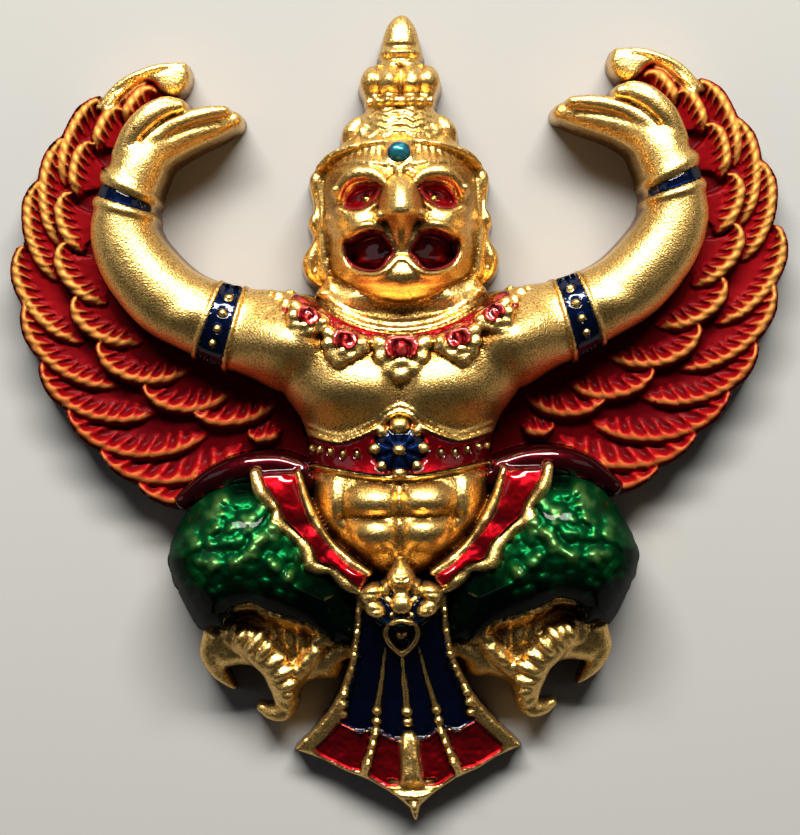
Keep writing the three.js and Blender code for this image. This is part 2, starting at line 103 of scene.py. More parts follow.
class Relief:  # heights in millimetres over the left half of the figure, and what covers each place
    def __init__(self, left, right, bottom, top, pitch):
        self.pitch = pitch
        self.x = np.arange(left, right + pitch / 2, pitch)
        self.y = np.arange(bottom, top + pitch / 2, pitch)
        self.h = np.full((len(self.y), len(self.x)), -1.0)
        self.cover = np.zeros(self.h.shape, int)
        self.finish = bare
        self.deep = np.zeros(self.h.shape)  # enamel over the metal where it was settled with the metal's shape
        self.rough = np.full(self.h.shape, 0.012)  # how lumpy the casting is

    def window(self, x0, x1, y0, y1):
        i0, i1 = np.searchsorted(self.x, [x0, x1])
        j0, j1 = np.searchsorted(self.y, [y0, y1])
        return slice(j0, j1), slice(i0, i1)

    def around(self, points, reach):
        p = np.array(points, float)[:, :2]
        return self.window(*np.transpose([p.min(0) - reach, p.max(0) + reach]).ravel())

    def places(self, where):
        return self.x[where[1]][None, :], self.y[where[0]][:, None]

    def height(self, x, y):
        return float(self.h[np.searchsorted(self.y, y), np.searchsorted(self.x, x)])

    def claim(self, where, won, deep=0):
        settle(self.cover, where, won, self.finish)
        settle(self.deep, where, won, deep)

    def add(self, where, height, blend=0.08, deep=0):
        self.claim(where, height > self.h[where], deep)
        self.h[where] = smoothMax(self.h[where], height, blend)

    def lay(self, where, on, height):
        self.claim(where, on)
        settle(self.h, where, on, height)

    def oval(self, centre, radii, turn, reach):  # nought at its middle and 1 on its outline
        where = self.around([centre], reach)
        X, Y = self.places(where)
        c, s = cos(radians(turn)), sin(radians(turn))
        x, y = X - centre[0], Y - centre[1]
        return where, ((x * c + y * s) / radii[0]) ** 2 + ((y * c - x * s) / radii[1]) ** 2

    def mound(self, centre, radii, base, rise, turn=0, blend=0.08, power=0.5):
        where, q = self.oval(centre, radii, turn, max(radii) + max(base, 0.4) / steep + 0.3)
        outside = (np.sqrt(q) - 1) * min(radii)
        self.add(where, base + np.where(q < 1, rise * dome(q, power), -steep * outside), blend)

    def swell(self, centre, radii, rise, turn=0, power=2.0):  # lifts or sinks what is there
        where, q = self.oval(centre, radii, turn, max(radii))
        self.h[where] += np.where(self.h[where] > 0.3, rise * dome(q, power), 0)

    def nearest(self, path, reach):  # distance to a path, its own numbers there, length along it, side
        where = self.around(path, reach)
        X, Y = self.places(where)
        best, place, side = (np.full(self.h[where].shape, start) for start in (1e9, 0.0, 1.0))
        for i in range(len(path) - 1):
            (x0, y0), (x1, y1) = path[i, :2], path[i + 1, :2]
            dx, dy = x1 - x0, y1 - y0
            t = np.clip(((X - x0) * dx + (Y - y0) * dy) / (dx * dx + dy * dy + 1e-12), 0, 1)
            ox, oy = X - x0 - t * dx, Y - y0 - t * dy
            d2 = ox * ox + oy * oy
            closer = d2 < best
            best = np.where(closer, d2, best)
            place = np.where(closer, i + t, place)
            side = np.where(closer, np.sign(dx * oy - dy * ox + 1e-12), side)
        lengths = np.concatenate([[0], np.cumsum(np.hypot(*np.diff(path[:, :2], axis=0).T))])
        at = np.arange(len(path))
        columns = [np.interp(place, at, path[:, k]) for k in range(2, path.shape[1])]
        return where, np.sqrt(best), columns, np.interp(place, at, lengths), side

    def bar(self, points, rise=1.0, blend=0.08, deep=0):  # rows of x, y, level of its widest section and radius
        path = curve(points)
        where, d, (base, r), *_ = self.nearest(path, path[:, 3].max() + path[:, 2].max() / steep + 0.3)
        r = np.maximum(r, 0.02)
        q = d / r
        self.add(where, base + np.where(q < 1, rise * r * dome(q * q), -steep * (d - r)), blend, deep)

    def wire(self, points, radius, over=0, blend=0.04):  # a thin line raised on what is there
        where, d, *_ = self.nearest(curve(points), radius + 0.1)
        there = self.h[where]
        top = there + over + radius * dome((d / radius) ** 2)
        self.lay(where, (d < radius) & (there > 0.2), smoothMax(there, top, blend))

    def bead(self, centre, radius, over=0, tall=1.0):  # a ball seated on what is there
        where, q = self.oval(centre, (radius, radius * tall), 0, radius * max(1.0, tall))
        self.lay(where, q < 1, np.maximum(self.h[where], self.height(*centre) + over + radius * dome(q)))

    def groove(self, points, depth, width, steps=6):
        where, d, *_ = self.nearest(curve(points, steps), width * 2.5)
        self.h[where] -= np.where(self.h[where] > 0.4, depth * np.exp(-((d / width) ** 2)), 0)

    def band(self, points, rows, blue, slant=0):  # rings round a bar: rows of mm along it and extra radius
        path = curve(points, 8)
        where, d, (base, r), along, side = self.nearest(path, path[:, 3].max() + 0.3)
        along = along - slant * d * side
        r = r + np.interp(along, *zip(*rows))
        on = (along > rows[0][0]) & (along < rows[-1][0]) & (d < r)
        self.lay(where, on, base + np.sqrt(np.maximum(r * r - d * d, 0)))
        settle(self.cover, where, on & (along > blue[0]) & (along < blue[1]), blueCell)

    def turned(self, rows, power=0.5, blend=0.1, fall=steep):  # rows of y, half width, base and depth
        path = curve(sorted(rows), 5)
        y = path[:, 0]
        where = self.window(-path[:, 1].max() - 0.9, 1.0, y[0] - 0.3, y[-1] + 0.3)
        X, Y = self.places(where)
        half, level, depth = (np.interp(Y, y, path[:, k]) for k in (1, 2, 3))
        q = np.abs(X) / np.maximum(half, 0.02)
        over = np.maximum(np.maximum(y[0] - Y, Y - y[-1]), 0)
        shape = np.where(q < 1, depth * dome(q * q, power), -fall * (np.abs(X) - half))
        self.add(where, level + shape - fall * over, blend)

    def within(self, points, reach=0.4, steps=1):  # distance inwards from a closed outline
        path = curve([*points, points[0]], steps)
        where, d, *_ = self.nearest(path, reach)
        X, Y = self.places(where)
        inside = np.zeros(d.shape, bool)
        for (x0, y0), (x1, y1) in zip(path[:-1], path[1:]):
            if y0 != y1:
                crossed = (Y > min(y0, y1)) & (Y <= max(y0, y1))
                inside ^= crossed & (X < (Y - y0) * (x1 - x0) / (y1 - y0) + x0)
        return where, np.where(inside, d, -d)

    def cell(self, points, kind, sink, wall=0.12, steps=1, pool=None):  # a sunk field and what fills it
        where, d = self.within(points, 0.3, steps)
        settle(self.cover, where, d > 0, kind)
        settle(self.deep, where, d > 0, 0.06 + pool[0] * ease(d / pool[1]) if pool else 0)
        self.h[where] -= sink * ease(d / wall)
        return where, d

    def thicken(self, points, thick, deep=0, steps=1):
        where, d = self.within(points, 0.3, steps)
        self.add(where, np.where(d > 0, self.h[where] + thick, -1), 0.03, deep)

    def roughen(self, points, amount):
        where, d = self.within(points, 0.1)
        settle(self.rough, where, d > 0, amount)

    def cushion(self, points, base, rise, shoulder, blend=0.1, steps=1):
        where, d = self.within(points, 0.9, steps)
        top = rise * dome((1 - np.clip(d / shoulder, 0, 1)) ** 2)
        level = base(*self.places(where)) if callable(base) else base
        self.add(where, level + np.where(d > 0, top, steep * d), blend)


wing = {
    "centre": (-5.55, 5.9),
    # each crest: angle and radius of its tip, degrees it turns through, how far it sinks inwards, gap of its barbs
    "long": [
        (110, 9.05, 27, 0.35, 0.45), (131, 9.6, 22, 0.95, 0.42), (143.5, 9.6, 26, 1.5, 0.4), (156, 9.65, 23, 1.5, 0.4),
        (172.5, 9.7, 26, 2.1, 0.45), (186, 9.5, 30, 2.4, 0.5), (201, 9.45, 30, 2.7, 0.55), (214, 9.4, 36, 2.9, 0.62),
        (227, 9.5, 35, 2.7, 0.78), (239, 9.65, 30, 2.2, 0.8),
    ],
    "short": [
        (119, 8.65, 10, 0.45, 0.4), (129, 8.75, 11, 0.5, 0.4), (141, 8.65, 13, 0.7, 0.4), (156, 8.4, 14, 1.2, 0.42),
        (170, 8, 18, 1.7, 0.45), (186, 7.45, 21, 2.05, 0.5), (202, 7, 29, 2.4, 0.52), (223, 6.4, 31, 1.7, 0.58),
        (243, 6, 33, 1.05, 0.6), (266, 6.35, 10, 0.15, 0.5),
    ],
    "crest": 0.5,  # mm that it stands over its blade
    "slant": 0.8,  # of the barbs, mm along the crest for each mm inwards
    # the lower-down share is painted shade, darker towards the bottom and partly pooled glass; the outside share is
    # painted shade under each crest
    "glass": (0.012, 0.075, 0.27, 0.08, 0.14),  # mm of enamel: all over, lower down, between barbs, inside, outside
    "plate": (1.2, 9.05),  # level and radius of what lies behind the feathers
    "blades": {"long": (1.45, 1.45), "short": (1.8, 1.15)},  # level and width
}


def feather(form, tip, blade, width, seed):
    angle, radius, turn, sink, gap = tip
    cx, cy = wing["centre"]
    s = np.array([0, 0.06, 0.18, 0.35, 0.55, 0.75, 0.9, 1])
    r = radius - sink * s**2 - 0.12 * np.maximum(0, 1 - s / 0.1) ** 2
    a = np.radians(angle + turn * s)
    path = curve(np.column_stack([cx + r * np.cos(a), cy + r * np.sin(a), s]), 4)
    where, d, (share,), along, side = form.nearest(path, width + 0.6)
    inward = d * side
    middle = ease(share * 4) * ease((1.15 - share) * 2.5)
    thin = 0.1 + 0.12 * middle  # half width of the crest
    length = (0.38 + 0.72 * gap) * ease(share * 5 + 0.2) * ease((1.08 - share) * 3.5)
    X, Y = form.places(where)
    lower = ease((7 - Y) / 8)
    fromCrest = inward + 0.9 * thin
    reach = np.clip(1 - fromCrest / np.maximum(length, 0.01), 0, 1)  # 1 at the crest, 0 where the barbs end
    wave = np.mod(along - inward * wing["slant"] + seed + 0.08 * lumpy(along, inward, 0.5, 3), gap) / gap
    barb = 0.18 + 0.1 * lower + 0.28 * reach  # widest at the crest
    tooth = np.clip(1.3 - 1.3 * np.abs(wave - 0.5) / barb, 0, 1) ** 0.9
    crest = wing["crest"] * ease(0.55 + share * 5) * ease((1.12 - share) * 3)
    crest = crest * (0.86 + 0.14 * tooth)
    outer = blade + crest * np.exp(-((fromCrest / (thin * 1.7)) ** 2)) - 0.5 * np.abs(inward)
    outer = outer - 14 * np.maximum(-inward - thin * 1.8, 0)
    ridge = np.exp(-((fromCrest / thin) ** 2))
    behind = np.exp(-((fromCrest / (thin * 1.1)) ** 2))
    bright = np.where(fromCrest > 0, smoothMax(ridge, 0.95 * tooth * reach**0.55, 0.2), behind)
    slope = blade - 0.12 * ease(inward / 0.3) - 0.12 * inward - 6 * np.maximum(inward - width, 0)
    height = np.where(inward > 0, slope + crest * np.minimum(bright, 1), outer)
    ended = np.maximum(np.where(share > 0.999, d, 0), np.where(share < 0.001, d, 0))
    far = ease((5.2 - np.hypot(X - cx, Y - cy)) / 2.5)
    dull = 1 - np.clip(bright, 0, 1) ** 0.55 * ease(crest / wing["crest"] + 0.35)
    film, below, hidden, inside, outside = wing["glass"]
    # below * lower and outside darken the red towards the bottom and under each crest: painted shade
    deep = film + below * lower + hidden * dull + inside * far + outside * ease(-fromCrest / thin - 0.3)
    form.add(where, height - 6 * np.maximum(ended - thin, 0), 0.04, deep)


def wings(form):
    form.finish = feathered
    where = form.window(-15.9, -2, -4.5, 15.5)
    X, Y = form.places(where)
    cx, cy = wing["centre"]
    r, a = np.hypot(X - cx, Y - cy), np.degrees(np.arctan2(Y - cy, X - cx)) % 360
    level, radius = wing["plate"]
    plate = level + 0.5 * ease((8.2 - r) / 3) + 0.4 * ease((4.5 - r) / 2)
    behindArm = 5.8 + 0.02 * np.maximum(150 - a, 0)  # the plate stops under the arm, so the gap stays open
    underArm = np.where(a < 185, behindArm - r, -1)
    edge = np.maximum.reduce([r - radius, underArm, (114 - a) * 0.14, (a - 300) * 0.1, 2.4 - r])
    form.add(where, np.where(edge < 0, plate, plate - 9 * edge), 0.05, 0.3)
    for row, start, step in (("long", 0, 0.13), ("short", 0.2, 0.11)):
        for k, tip in enumerate(wing[row]):
            feather(form, tip, *wing["blades"][row], start + step * k)
    form.finish = bare  # the topmost feather is plain metal
    top = [(-11.9, 12.75), (-11.2, 13.45), (-10.2, 14.05), (-8.6, 14.45), (-8.22, 14.1), (-8.4, 13.5), (-8.9, 13.15),
           (-9.4, 13.4), (-9.7, 13.75), (-10.2, 13.75), (-10.9, 13.2), (-11.5, 12.5)]
    form.cushion(top, 1.75, 0.35, 0.3, steps=2)
    form.roughen(top, 0.04)
    vane = [(-11.9, 12.8, 1.7, 0.14), (-10.9, 13.75, 1.85, 0.17), (-9.6, 14.28, 1.9, 0.18), (-8.45, 14.42, 1.8, 0.12)]
    form.bar(vane, 1.4)
    form.finish = redCell  # the thick roll between wing, trunk and thigh, where the enamel is deep
    roll = [(-8.7, -3, 1.9, 0.35), (-7.5, -2.2, 2.5, 0.5), (-6.3, -1.75, 2.8, 0.55), (-5, -1.65, 2.9, 0.55),
            (-3.9, -1.95, 2.9, 0.5), (-3.3, -2.3, 2.9, 0.4)]
    form.bar(roll, 0.9, blend=0.5, deep=0.42)


arm = {
    "line": [
        (-4.3, 3.2, 2.6, 2), (-5.4, 3.55, 2.7, 1.8), (-6.65, 3.85, 2.75, 1.62), (-8.1, 4.4, 2.8, 1.5),
        (-9.1, 4.95, 2.85, 1.5), (-9.95, 5.8, 2.85, 1.46), (-10.6, 6.75, 2.85, 1.38), (-10.88, 7.6, 2.85, 1.3),
        (-10.87, 8.3, 2.85, 1.22), (-10.75, 9, 2.85, 1.13), (-10.5, 9.7, 2.85, 1.08), (-10.15, 10.35, 2.8, 1),
    ],
    "armlet": (2.2, 3.55),  # millimetres along the arm
    "bangles": (9.15, 10.55),
}


def arms(form):
    form.bar(arm["line"], blend=0.25)
    form.swell((-4.6, 3.4), (2.2, 1.7), 0.3, 20)
    form.swell((-8.4, 4.2), (1.7, 0.8), 0.15, 30)
    a, b = arm["armlet"]
    rings = [(a, 0), (a + 0.04, 0.14), (a + 0.14, 0.17), (a + 0.22, 0.05), (b - 0.22, 0.05), (b - 0.14, 0.17),
             (b - 0.04, 0.14), (b, 0)]
    form.band(arm["line"], rings, (a + 0.18, b - 0.18))
    for x, y, size in ((-6.67, 4.98, 0.17), (-6.9, 4.37, 0.18), (-7.12, 3.77, 0.18), (-7.32, 3.21, 0.16)):
        form.bead((x, y), size, 0.02)
    a, b = arm["bangles"]
    rings = [(a, 0), (a + 0.06, 0.1), (a + 0.2, 0.13), (a + 0.34, 0.08), (a + 0.4, -0.04), (b - 0.62, -0.04),
             (b - 0.55, 0.1), (b - 0.3, 0.2), (b - 0.08, 0.12), (b, 0)]
    form.band(arm["line"], rings, (a + 0.36, b - 0.58), 0.14)


def hands(form):
    palm = [(-10.5, 9.7, 2.85, 1.06), (-10.2, 10.45, 2.8, 1.04), (-9.6, 11.1, 2.6, 0.96), (-8.8, 11.5, 2.4, 0.82),
            (-7.9, 11.8, 2.25, 0.68), (-7.1, 12.03, 2.15, 0.56), (-6.5, 12.15, 2.1, 0.36)]
    form.bar(palm, blend=0.3)
    index = [(-9.7, 11.45, 3.2, 0.3), (-8.6, 12.02, 3.15, 0.3), (-7.6, 12.34, 3, 0.28), (-6.8, 12.46, 2.85, 0.2)]
    form.bar(index, blend=0.35)
    thumb = [(-10.8, 10.7, 3, 0.5), (-10.35, 11.6, 3.25, 0.5), (-9.7, 12.27, 3.35, 0.48), (-9.08, 12.6, 3.3, 0.42),
             (-8.6, 12.64, 3.2, 0.3)]
    form.bar(thumb, blend=0.12)
    form.groove([(-10.1, 11.3), (-9.3, 12.02), (-8.45, 12.36)], 0.22, 0.07)
    form.groove([(-9.75, 12.45), (-9.2, 12.75), (-8.75, 12.8)], 0.08, 0.06)
    form.groove([(-9, 11.35), (-8.1, 11.72), (-7, 11.98)], 0.06, 0.08)


def torso(form):
    trunk = [
        (5.35, 1.6, 1), (4.7, 3.6, 1.65), (3.6, 4.7, 2.1), (2.4, 5, 2.55), (1.5, 4.8, 2.85), (0.9, 4.45, 2.85),
        (0.3, 4, 2.6), (-0.1, 3.8, 2.42), (-0.6, 3.6, 2.35), (-1.5, 3.5, 2.3), (-2.3, 3.55, 2.5), (-3.2, 3.4, 2.65),
        (-4, 3.05, 2.6), (-4.8, 2.45, 2.35), (-5.5, 1.6, 1.9), (-6.2, 0.6, 1.2),
    ]
    form.turned([(y, half, 2.5, deep) for y, half, deep in trunk], 0.45, blend=0.5)
    form.swell((-2.4, 2.1), (3.3, 2.5), 0.55, -12, 1.6)
    form.swell((-4.4, 3.2), (2.9, 1.9), 0.4, 20, 1.6)
    form.swell((0, 1.3), (0.8, 1.6), -0.3)
    form.swell((-1.12, -3.05), (1.15, 0.7), 0.5, 0, 1)
    form.swell((-1.12, -4.45), (1.05, 0.75), 0.5, 0, 1)
    form.swell((-2.75, -3.3), (0.7, 1.5), 0.3, -15, 1)
    form.groove([(0, -2.2), (0, -5.6)], 0.16, 0.16)
    form.groove([(-2.3, -3.75), (-1.2, -3.7), (0, -3.72)], 0.16, 0.18)
    form.groove([(-2.25, -2.3), (-2.2, -3.6), (-1.7, -5.2)], 0.14, 0.16)
    form.roughen([(-3.7, -2.2), (-3, -5.2), (0.8, -6.6), (0.8, -2.2)], 0.03)


head = {
    "profile": [  # y, half width, base, depth
        (4.7, 1, 2.6, 1.9), (5, 1.9, 2.6, 2.4), (5.5, 2.5, 2.6, 2.75), (6.2, 2.85, 2.6, 2.95), (7.3, 3, 2.6, 3),
        (8.4, 3.05, 2.6, 3), (9.4, 3.05, 2.6, 2.9), (10, 2.95, 2.6, 2.75), (10.5, 2.65, 2.6, 2.5),
        (11, 2.25, 2.65, 2.1), (11.35, 1.85, 2.7, 1.8), (11.9, 1.65, 2.7, 1.6), (12.2, 1.45, 2.7, 1.45),
        (12.42, 1.28, 2.7, 1.25), (12.64, 1.36, 2.7, 1.35), (12.9, 1.15, 2.7, 1.15), (13.4, 1.2, 2.7, 1.2),
        (13.85, 1.1, 2.7, 1.1), (14.02, 0.78, 2.7, 0.78), (14.16, 0.86, 2.7, 0.88), (14.32, 0.68, 2.7, 0.66),
        (14.6, 0.84, 2.7, 0.86), (14.86, 0.62, 2.7, 0.6), (14.98, 0.7, 2.7, 0.7), (15.6, 0.55, 2.7, 0.55),
        (16, 0.28, 2.7, 0.3), (16.14, 0.1, 2.7, 0.12),
    ],
}


def neck(form):
    bowl = [(-3.35, 5.1), (-2.6, 4.45), (-1.3, 3.85), (0, 3.62), (0.9, 3.7), (0.9, 5.6), (-2.9, 5.7)]
    form.cushion(bowl, 3.15, 1.2, 0.9, blend=0.7)
    form.swell((-2.6, 5.25), (1, 0.6), -0.3)
    form.swell((0, 4.35), (2.3, 0.7), -0.35)
    for y, r in ((0, 0.12), (0.26, 0.08)):
        line = [(-3.45, 5.25 + y), (-2.65, 4.45 + y), (-1.35, 3.8 + y), (0, 3.58 + y), (0.5, 3.6 + y)]
        form.wire(line, r, 0.05)


def skull(form):
    form.turned(head["profile"], blend=0.12)
    ear = [(-3.05, 10, 2.9, 0.16), (-3.25, 9.65, 3, 0.25), (-3.26, 9.1, 3, 0.17), (-3.2, 8.45, 3, 0.15),
           (-3.36, 7.95, 3, 0.23), (-3.25, 7.4, 2.9, 0.15), (-3.35, 6.9, 2.8, 0.26), (-3.5, 6.45, 2.7, 0.36),
           (-3.42, 5.95, 2.6, 0.32), (-3.2, 5.55, 2.5, 0.15)]
    form.bar(ear, 1.2, blend=0.1)
    temple = [(-2.85, 9.8, 2.6, 0.5), (-2.9, 8.5, 2.7, 0.5), (-2.95, 7.2, 2.7, 0.5), (-2.85, 6, 2.6, 0.5)]
    form.bar(temple, 1.3, blend=0.3)
    form.groove([(-2.9, 9.9), (-2.98, 8.8), (-3, 7.8), (-2.95, 6.9), (-2.75, 6)], 0.1, 0.06)
    form.groove([(-3.3, 9.1), (-3.2, 8.4), (-3.32, 7.5), (-3.3, 6.9), (-3.4, 6.1)], 0.15, 0.06)
    form.swell((-1.2, 9.9), (1.6, 0.6), 0.25)


def face(form):
    form.swell((-1.95, 7.8), (1.25, 0.75), 0.6, -8, 1.2)  # cheek bones
    form.swell((-1.4, 9.45), (1.2, 0.5), 0.2, 5, 1.3)
    form.swell((0, 5.55), (2.6, 0.8), 0.45, 0, 1.3)
    beak = [(9.62, 0.2, 5.2, 0.5), (9.35, 0.5, 5.2, 1.25), (9, 0.68, 5.2, 1.65), (8.6, 0.8, 5.2, 1.9),
            (8.2, 0.86, 5.2, 2.05), (7.95, 0.8, 5.2, 1.95), (7.72, 0.62, 5.2, 1.45), (7.4, 0.44, 5.1, 1.1),
            (7, 0.33, 5.1, 0.8), (6.65, 0.22, 5, 0.6), (6.42, 0.07, 4.9, 0.3)]
    form.turned(beak, 0.55, blend=0.1, fall=4)
    form.mound((-0.72, 7.98), (0.28, 0.24), 6, 0.45, blend=0.15)  # nostrils
    eye = [(-2.22, 8.46), (-2, 8.95), (-1.5, 9.28), (-0.95, 9.25), (-0.68, 9.1), (-0.85, 8.72), (-1.2, 8.4),
           (-1.65, 8.22), (-2, 8.26)]
    form.cell(eye, redCell, 0.5, 0.25, 3, (0.1, 0.25))
    form.bead((-1.28, 8.68), 0.17, 0.02)
    brow = [(-2.38, 8.8, 4.9, 0.14), (-2.2, 9.3, 5.15, 0.2), (-1.75, 9.62, 5.4, 0.27), (-1.15, 9.66, 5.5, 0.27),
            (-0.7, 9.42, 5.6, 0.2), (-0.5, 9.1, 5.6, 0.12)]
    form.bar(brow, 1.1, blend=0.1)
    lid = [(-2.35, 8.3, 5, 0.12), (-1.8, 8.02, 5.3, 0.17), (-1.3, 8.14, 5.4, 0.15), (-0.85, 8.45, 5.5, 0.12)]
    form.bar(lid, 1.1, blend=0.1)
    mouth = [(-2.18, 7.16), (-1.9, 7.14), (-1.62, 7.3), (-1.2, 7.45), (-0.72, 7.4), (-0.5, 7.1), (-0.26, 6.75),
             (-0.22, 6.5), (-0.45, 6.3), (-0.62, 6.02), (-0.95, 5.8), (-1.5, 5.88), (-1.95, 6.12), (-2.2, 6.5)]
    where, d = form.cell(mouth, redCell, 1.2, 0.22, 2)
    wall = 1.2 * (1 - ease(d / 0.22))
    _, low = form.places(where)
    gathered = 0.35 * np.exp(-np.maximum(d, 0) / 0.12) + 0.3 * ease((6.35 - low) / 0.4)  # at the rim and below
    settle(form.deep, where, d > 0, np.maximum(0.3 + gathered - wall, 0.05))
    form.wire([(-2.5, 7.2), (-2.1, 7.28), (-1.65, 7.48), (-1.2, 7.6), (-0.8, 7.55)], 0.2, 0.02, 0.15)
    form.wire([(-2.3, 7.2), (-2.36, 6.6), (-2.1, 6.02), (-1.6, 5.76), (-0.95, 5.68), (-0.5, 5.95), (-0.15, 6.3),
               (0.3, 6.3)], 0.13, 0.05)
    form.roughen([(-3.1, 4.8), (-3.1, 9.9), (0.8, 9.9), (0.8, 4.8)], 0.03)
    form.groove([(-2.4, 5.6), (-1.4, 5.15), (0, 5), (0.5, 5.02)], 0.16, 0.12)
    form.groove([(-2.75, 7.3), (-2.75, 6.6), (-2.3, 5.75)], 0.12, 0.1)
    form.bead((-2.5, 9.05), 0.17)


def crown(form):
    rim = [(-3.08, 10.05, 3.7, 0.16), (-2.65, 10.45, 4.15, 0.15), (-1.9, 10.75, 4.5, 0.12), (-1, 10.9, 4.75, 0.1),
           (0.2, 10.95, 4.85, 0.1)]
    form.bar(rim, blend=0.12)  # the flaring head band and its engraved strokes
    for k in range(9):
        x = -2.85 + 0.27 * k
        form.groove([(x, 10.12 + 0.02 * k), (x + 0.07, 10.42 + 0.06 * k)], 0.1, 0.055, 2)
    form.groove([(-3.1, 9.95), (-2, 10.05), (-1, 9.95), (-0.5, 9.85)], 0.18, 0.06)
    for k in range(5):  # wavy folds of the wrapped tier
        y = 11.15 + 0.27 * k
        waves = [(-1.6 + 0.06 * k, y + 0.12), (-1.2, y - 0.08), (-0.85, y + 0.12), (-0.5, y - 0.02), (-0.2, y + 0.14),
                 (0, y + 0.1)]
        form.groove(waves, 0.16, 0.055)
    form.bar([(-1.95, 11.1, 2.9, 0.3), (-1.85, 11.5, 3, 0.36), (-1.6, 11.9, 3, 0.24), (-1.4, 12.05, 3, 0.1)], 1.5)
    form.bar([(-1.5, 11.05, 3.6, 0.2), (-1.35, 11.5, 3.6, 0.26), (-1.2, 11.8, 3.5, 0.12)], 1.2)
    for k in range(4):
        form.bead((-1.18 + 0.36 * k, 12.62), 0.17, 0.02)
    form.roughen([(-3.2, 9.95), (-2, 12), (-1.7, 14.2), (0.8, 14.2), (0.8, 9.95)], 0.05)
    # lotus bud, its outer petal and its middle one
    outer = [(-1, 12.95, 3.2, 0.36), (-1.05, 13.45, 3.3, 0.47), (-0.98, 13.85, 3.2, 0.36), (-0.9, 14.08, 3, 0.1)]
    form.bar(outer, 1.3, blend=0.02)
    inner = [(-0.38, 12.9, 3.5, 0.3), (-0.42, 13.3, 3.65, 0.42), (-0.38, 13.75, 3.55, 0.36), (-0.3, 14.12, 3.3, 0.1)]
    form.bar(inner, 1.25, blend=0.02)
    form.groove([(0, 12.9), (0, 14.1)], 0.2, 0.07, 2)
    form.groove([(-1, 12.95), (-0.5, 12.98), (0, 12.9)], 0.1, 0.07)
    form.finish = gem  # in its setting
    form.mound((0, 10.45), (0.48, 0.48), 5.15, 0.42, blend=0.01)
    form.finish = bare
    ring = [(0.5 * cos(t), 10.45 + 0.5 * sin(t)) for t in np.linspace(pi / 2, 3 * pi / 2, 9)]
    form.wire(ring, 0.09, 0.02)
    form.bead((0, 9.78), 0.2)


def pendant(form, x, y, size, turn):  # a shield with a thick lumpy rim round a curl of metal in red enamel
    c, s = cos(radians(turn)), sin(radians(turn))

    def at(u, v):
        return x + size * (u * c - v * s), y + size * (u * s + v * c)

    shape = [(-0.95, 0.6), (-0.92, 0), (-0.6, -0.45), (0, -1), (0.6, -0.45), (0.92, 0), (0.95, 0.6), (0, 0.7)]
    level = form.height(x, y) - 0.05
    form.finish = bare
    form.cushion([at(*p) for p in shape], level, 0.5, 0.3, steps=3)
    form.cell([at(0.62 * u, 0.62 * v + 0.22) for u, v in shape], redCell, 0.16, 0.15, 3)
    form.finish = redCell
    curl = [(-0.4, 0), (-0.42, 0.42), (-0.02, 0.62), (0.38, 0.4), (0.28, 0), (-0.02, 0.06), (0, 0.3)]
    form.wire([at(*p) for p in curl], 0.15 * size, 0.14)
    form.finish = bare
    form.mound(at(0.02, -0.3), (0.32 * size, 0.24 * size), level + 0.4, 0.25, turn, 0.1)
    for u, v, r, tall in ((-0.82, 0.38, 0.34, 0.2), (0.84, 0.3, 0.3, 0.26), (-0.72, -0.12, 0.32, 0.28),
                          (0.7, -0.06, 0.36, 0.2), (-0.4, -0.5, 0.36, 0.22), (0.42, -0.44, 0.3, 0.28),
                          (0.02, -0.76, 0.36, 0.24)):
        form.mound(at(u, v), (r * size, 0.85 * r * size), level + 0.4, tall * size, 60 * u, blend=0.16)


def necklace(form):
    form.finish = redCell
    band = [(-4.6, 5.15), (-3.6, 4.95), (-2.75, 4.25), (-1.4, 3.62), (0, 3.4), (0.6, 3.44), (0.6, 2.8), (0, 2.75),
            (-1.2, 2.82), (-2.6, 3.1), (-3.7, 3.8), (-4.6, 4.4)]
    form.thicken(band, 0.12, steps=2)
    # small curls under the enamel
    for x, y, r in ((-1.7, 3.25, 0.22), (-1.15, 3.15, 0.16), (-2.35, 3.55, 0.24), (-3.2, 4.2, 0.25),
                    (-3.85, 4.65, 0.24), (-0.7, 3.05, 0.2), (-2.85, 3.75, 0.15), (-3.55, 4.25, 0.15)):
        form.wire([(x - r, y - 0.05), (x - 0.1, y + r), (x + r, y), (x + 0.05, y - 0.12)], 0.09, 0.1)
    pendant(form, 0, 2.62, 1.05, 0)
    pendant(form, -2.2, 3, 0.85, -14)
    pendant(form, -3.65, 4, 0.75, -28)
    form.finish = bare
    for x, y, r in ((-1.35, 2.85, 0.17), (-4.45, 4.75, 0.2), (-4.75, 5, 0.24), (-4.35, 5.15, 0.2), (-5, 5.15, 0.18)):
        form.bead((x, y), r, 0.03)
    form.roughen([(-5.3, 5.4), (-5.3, 4.2), (-2.6, 2.2), (0.8, 1.5), (0.8, 3.2), (-2.5, 3.9)], 0.06)


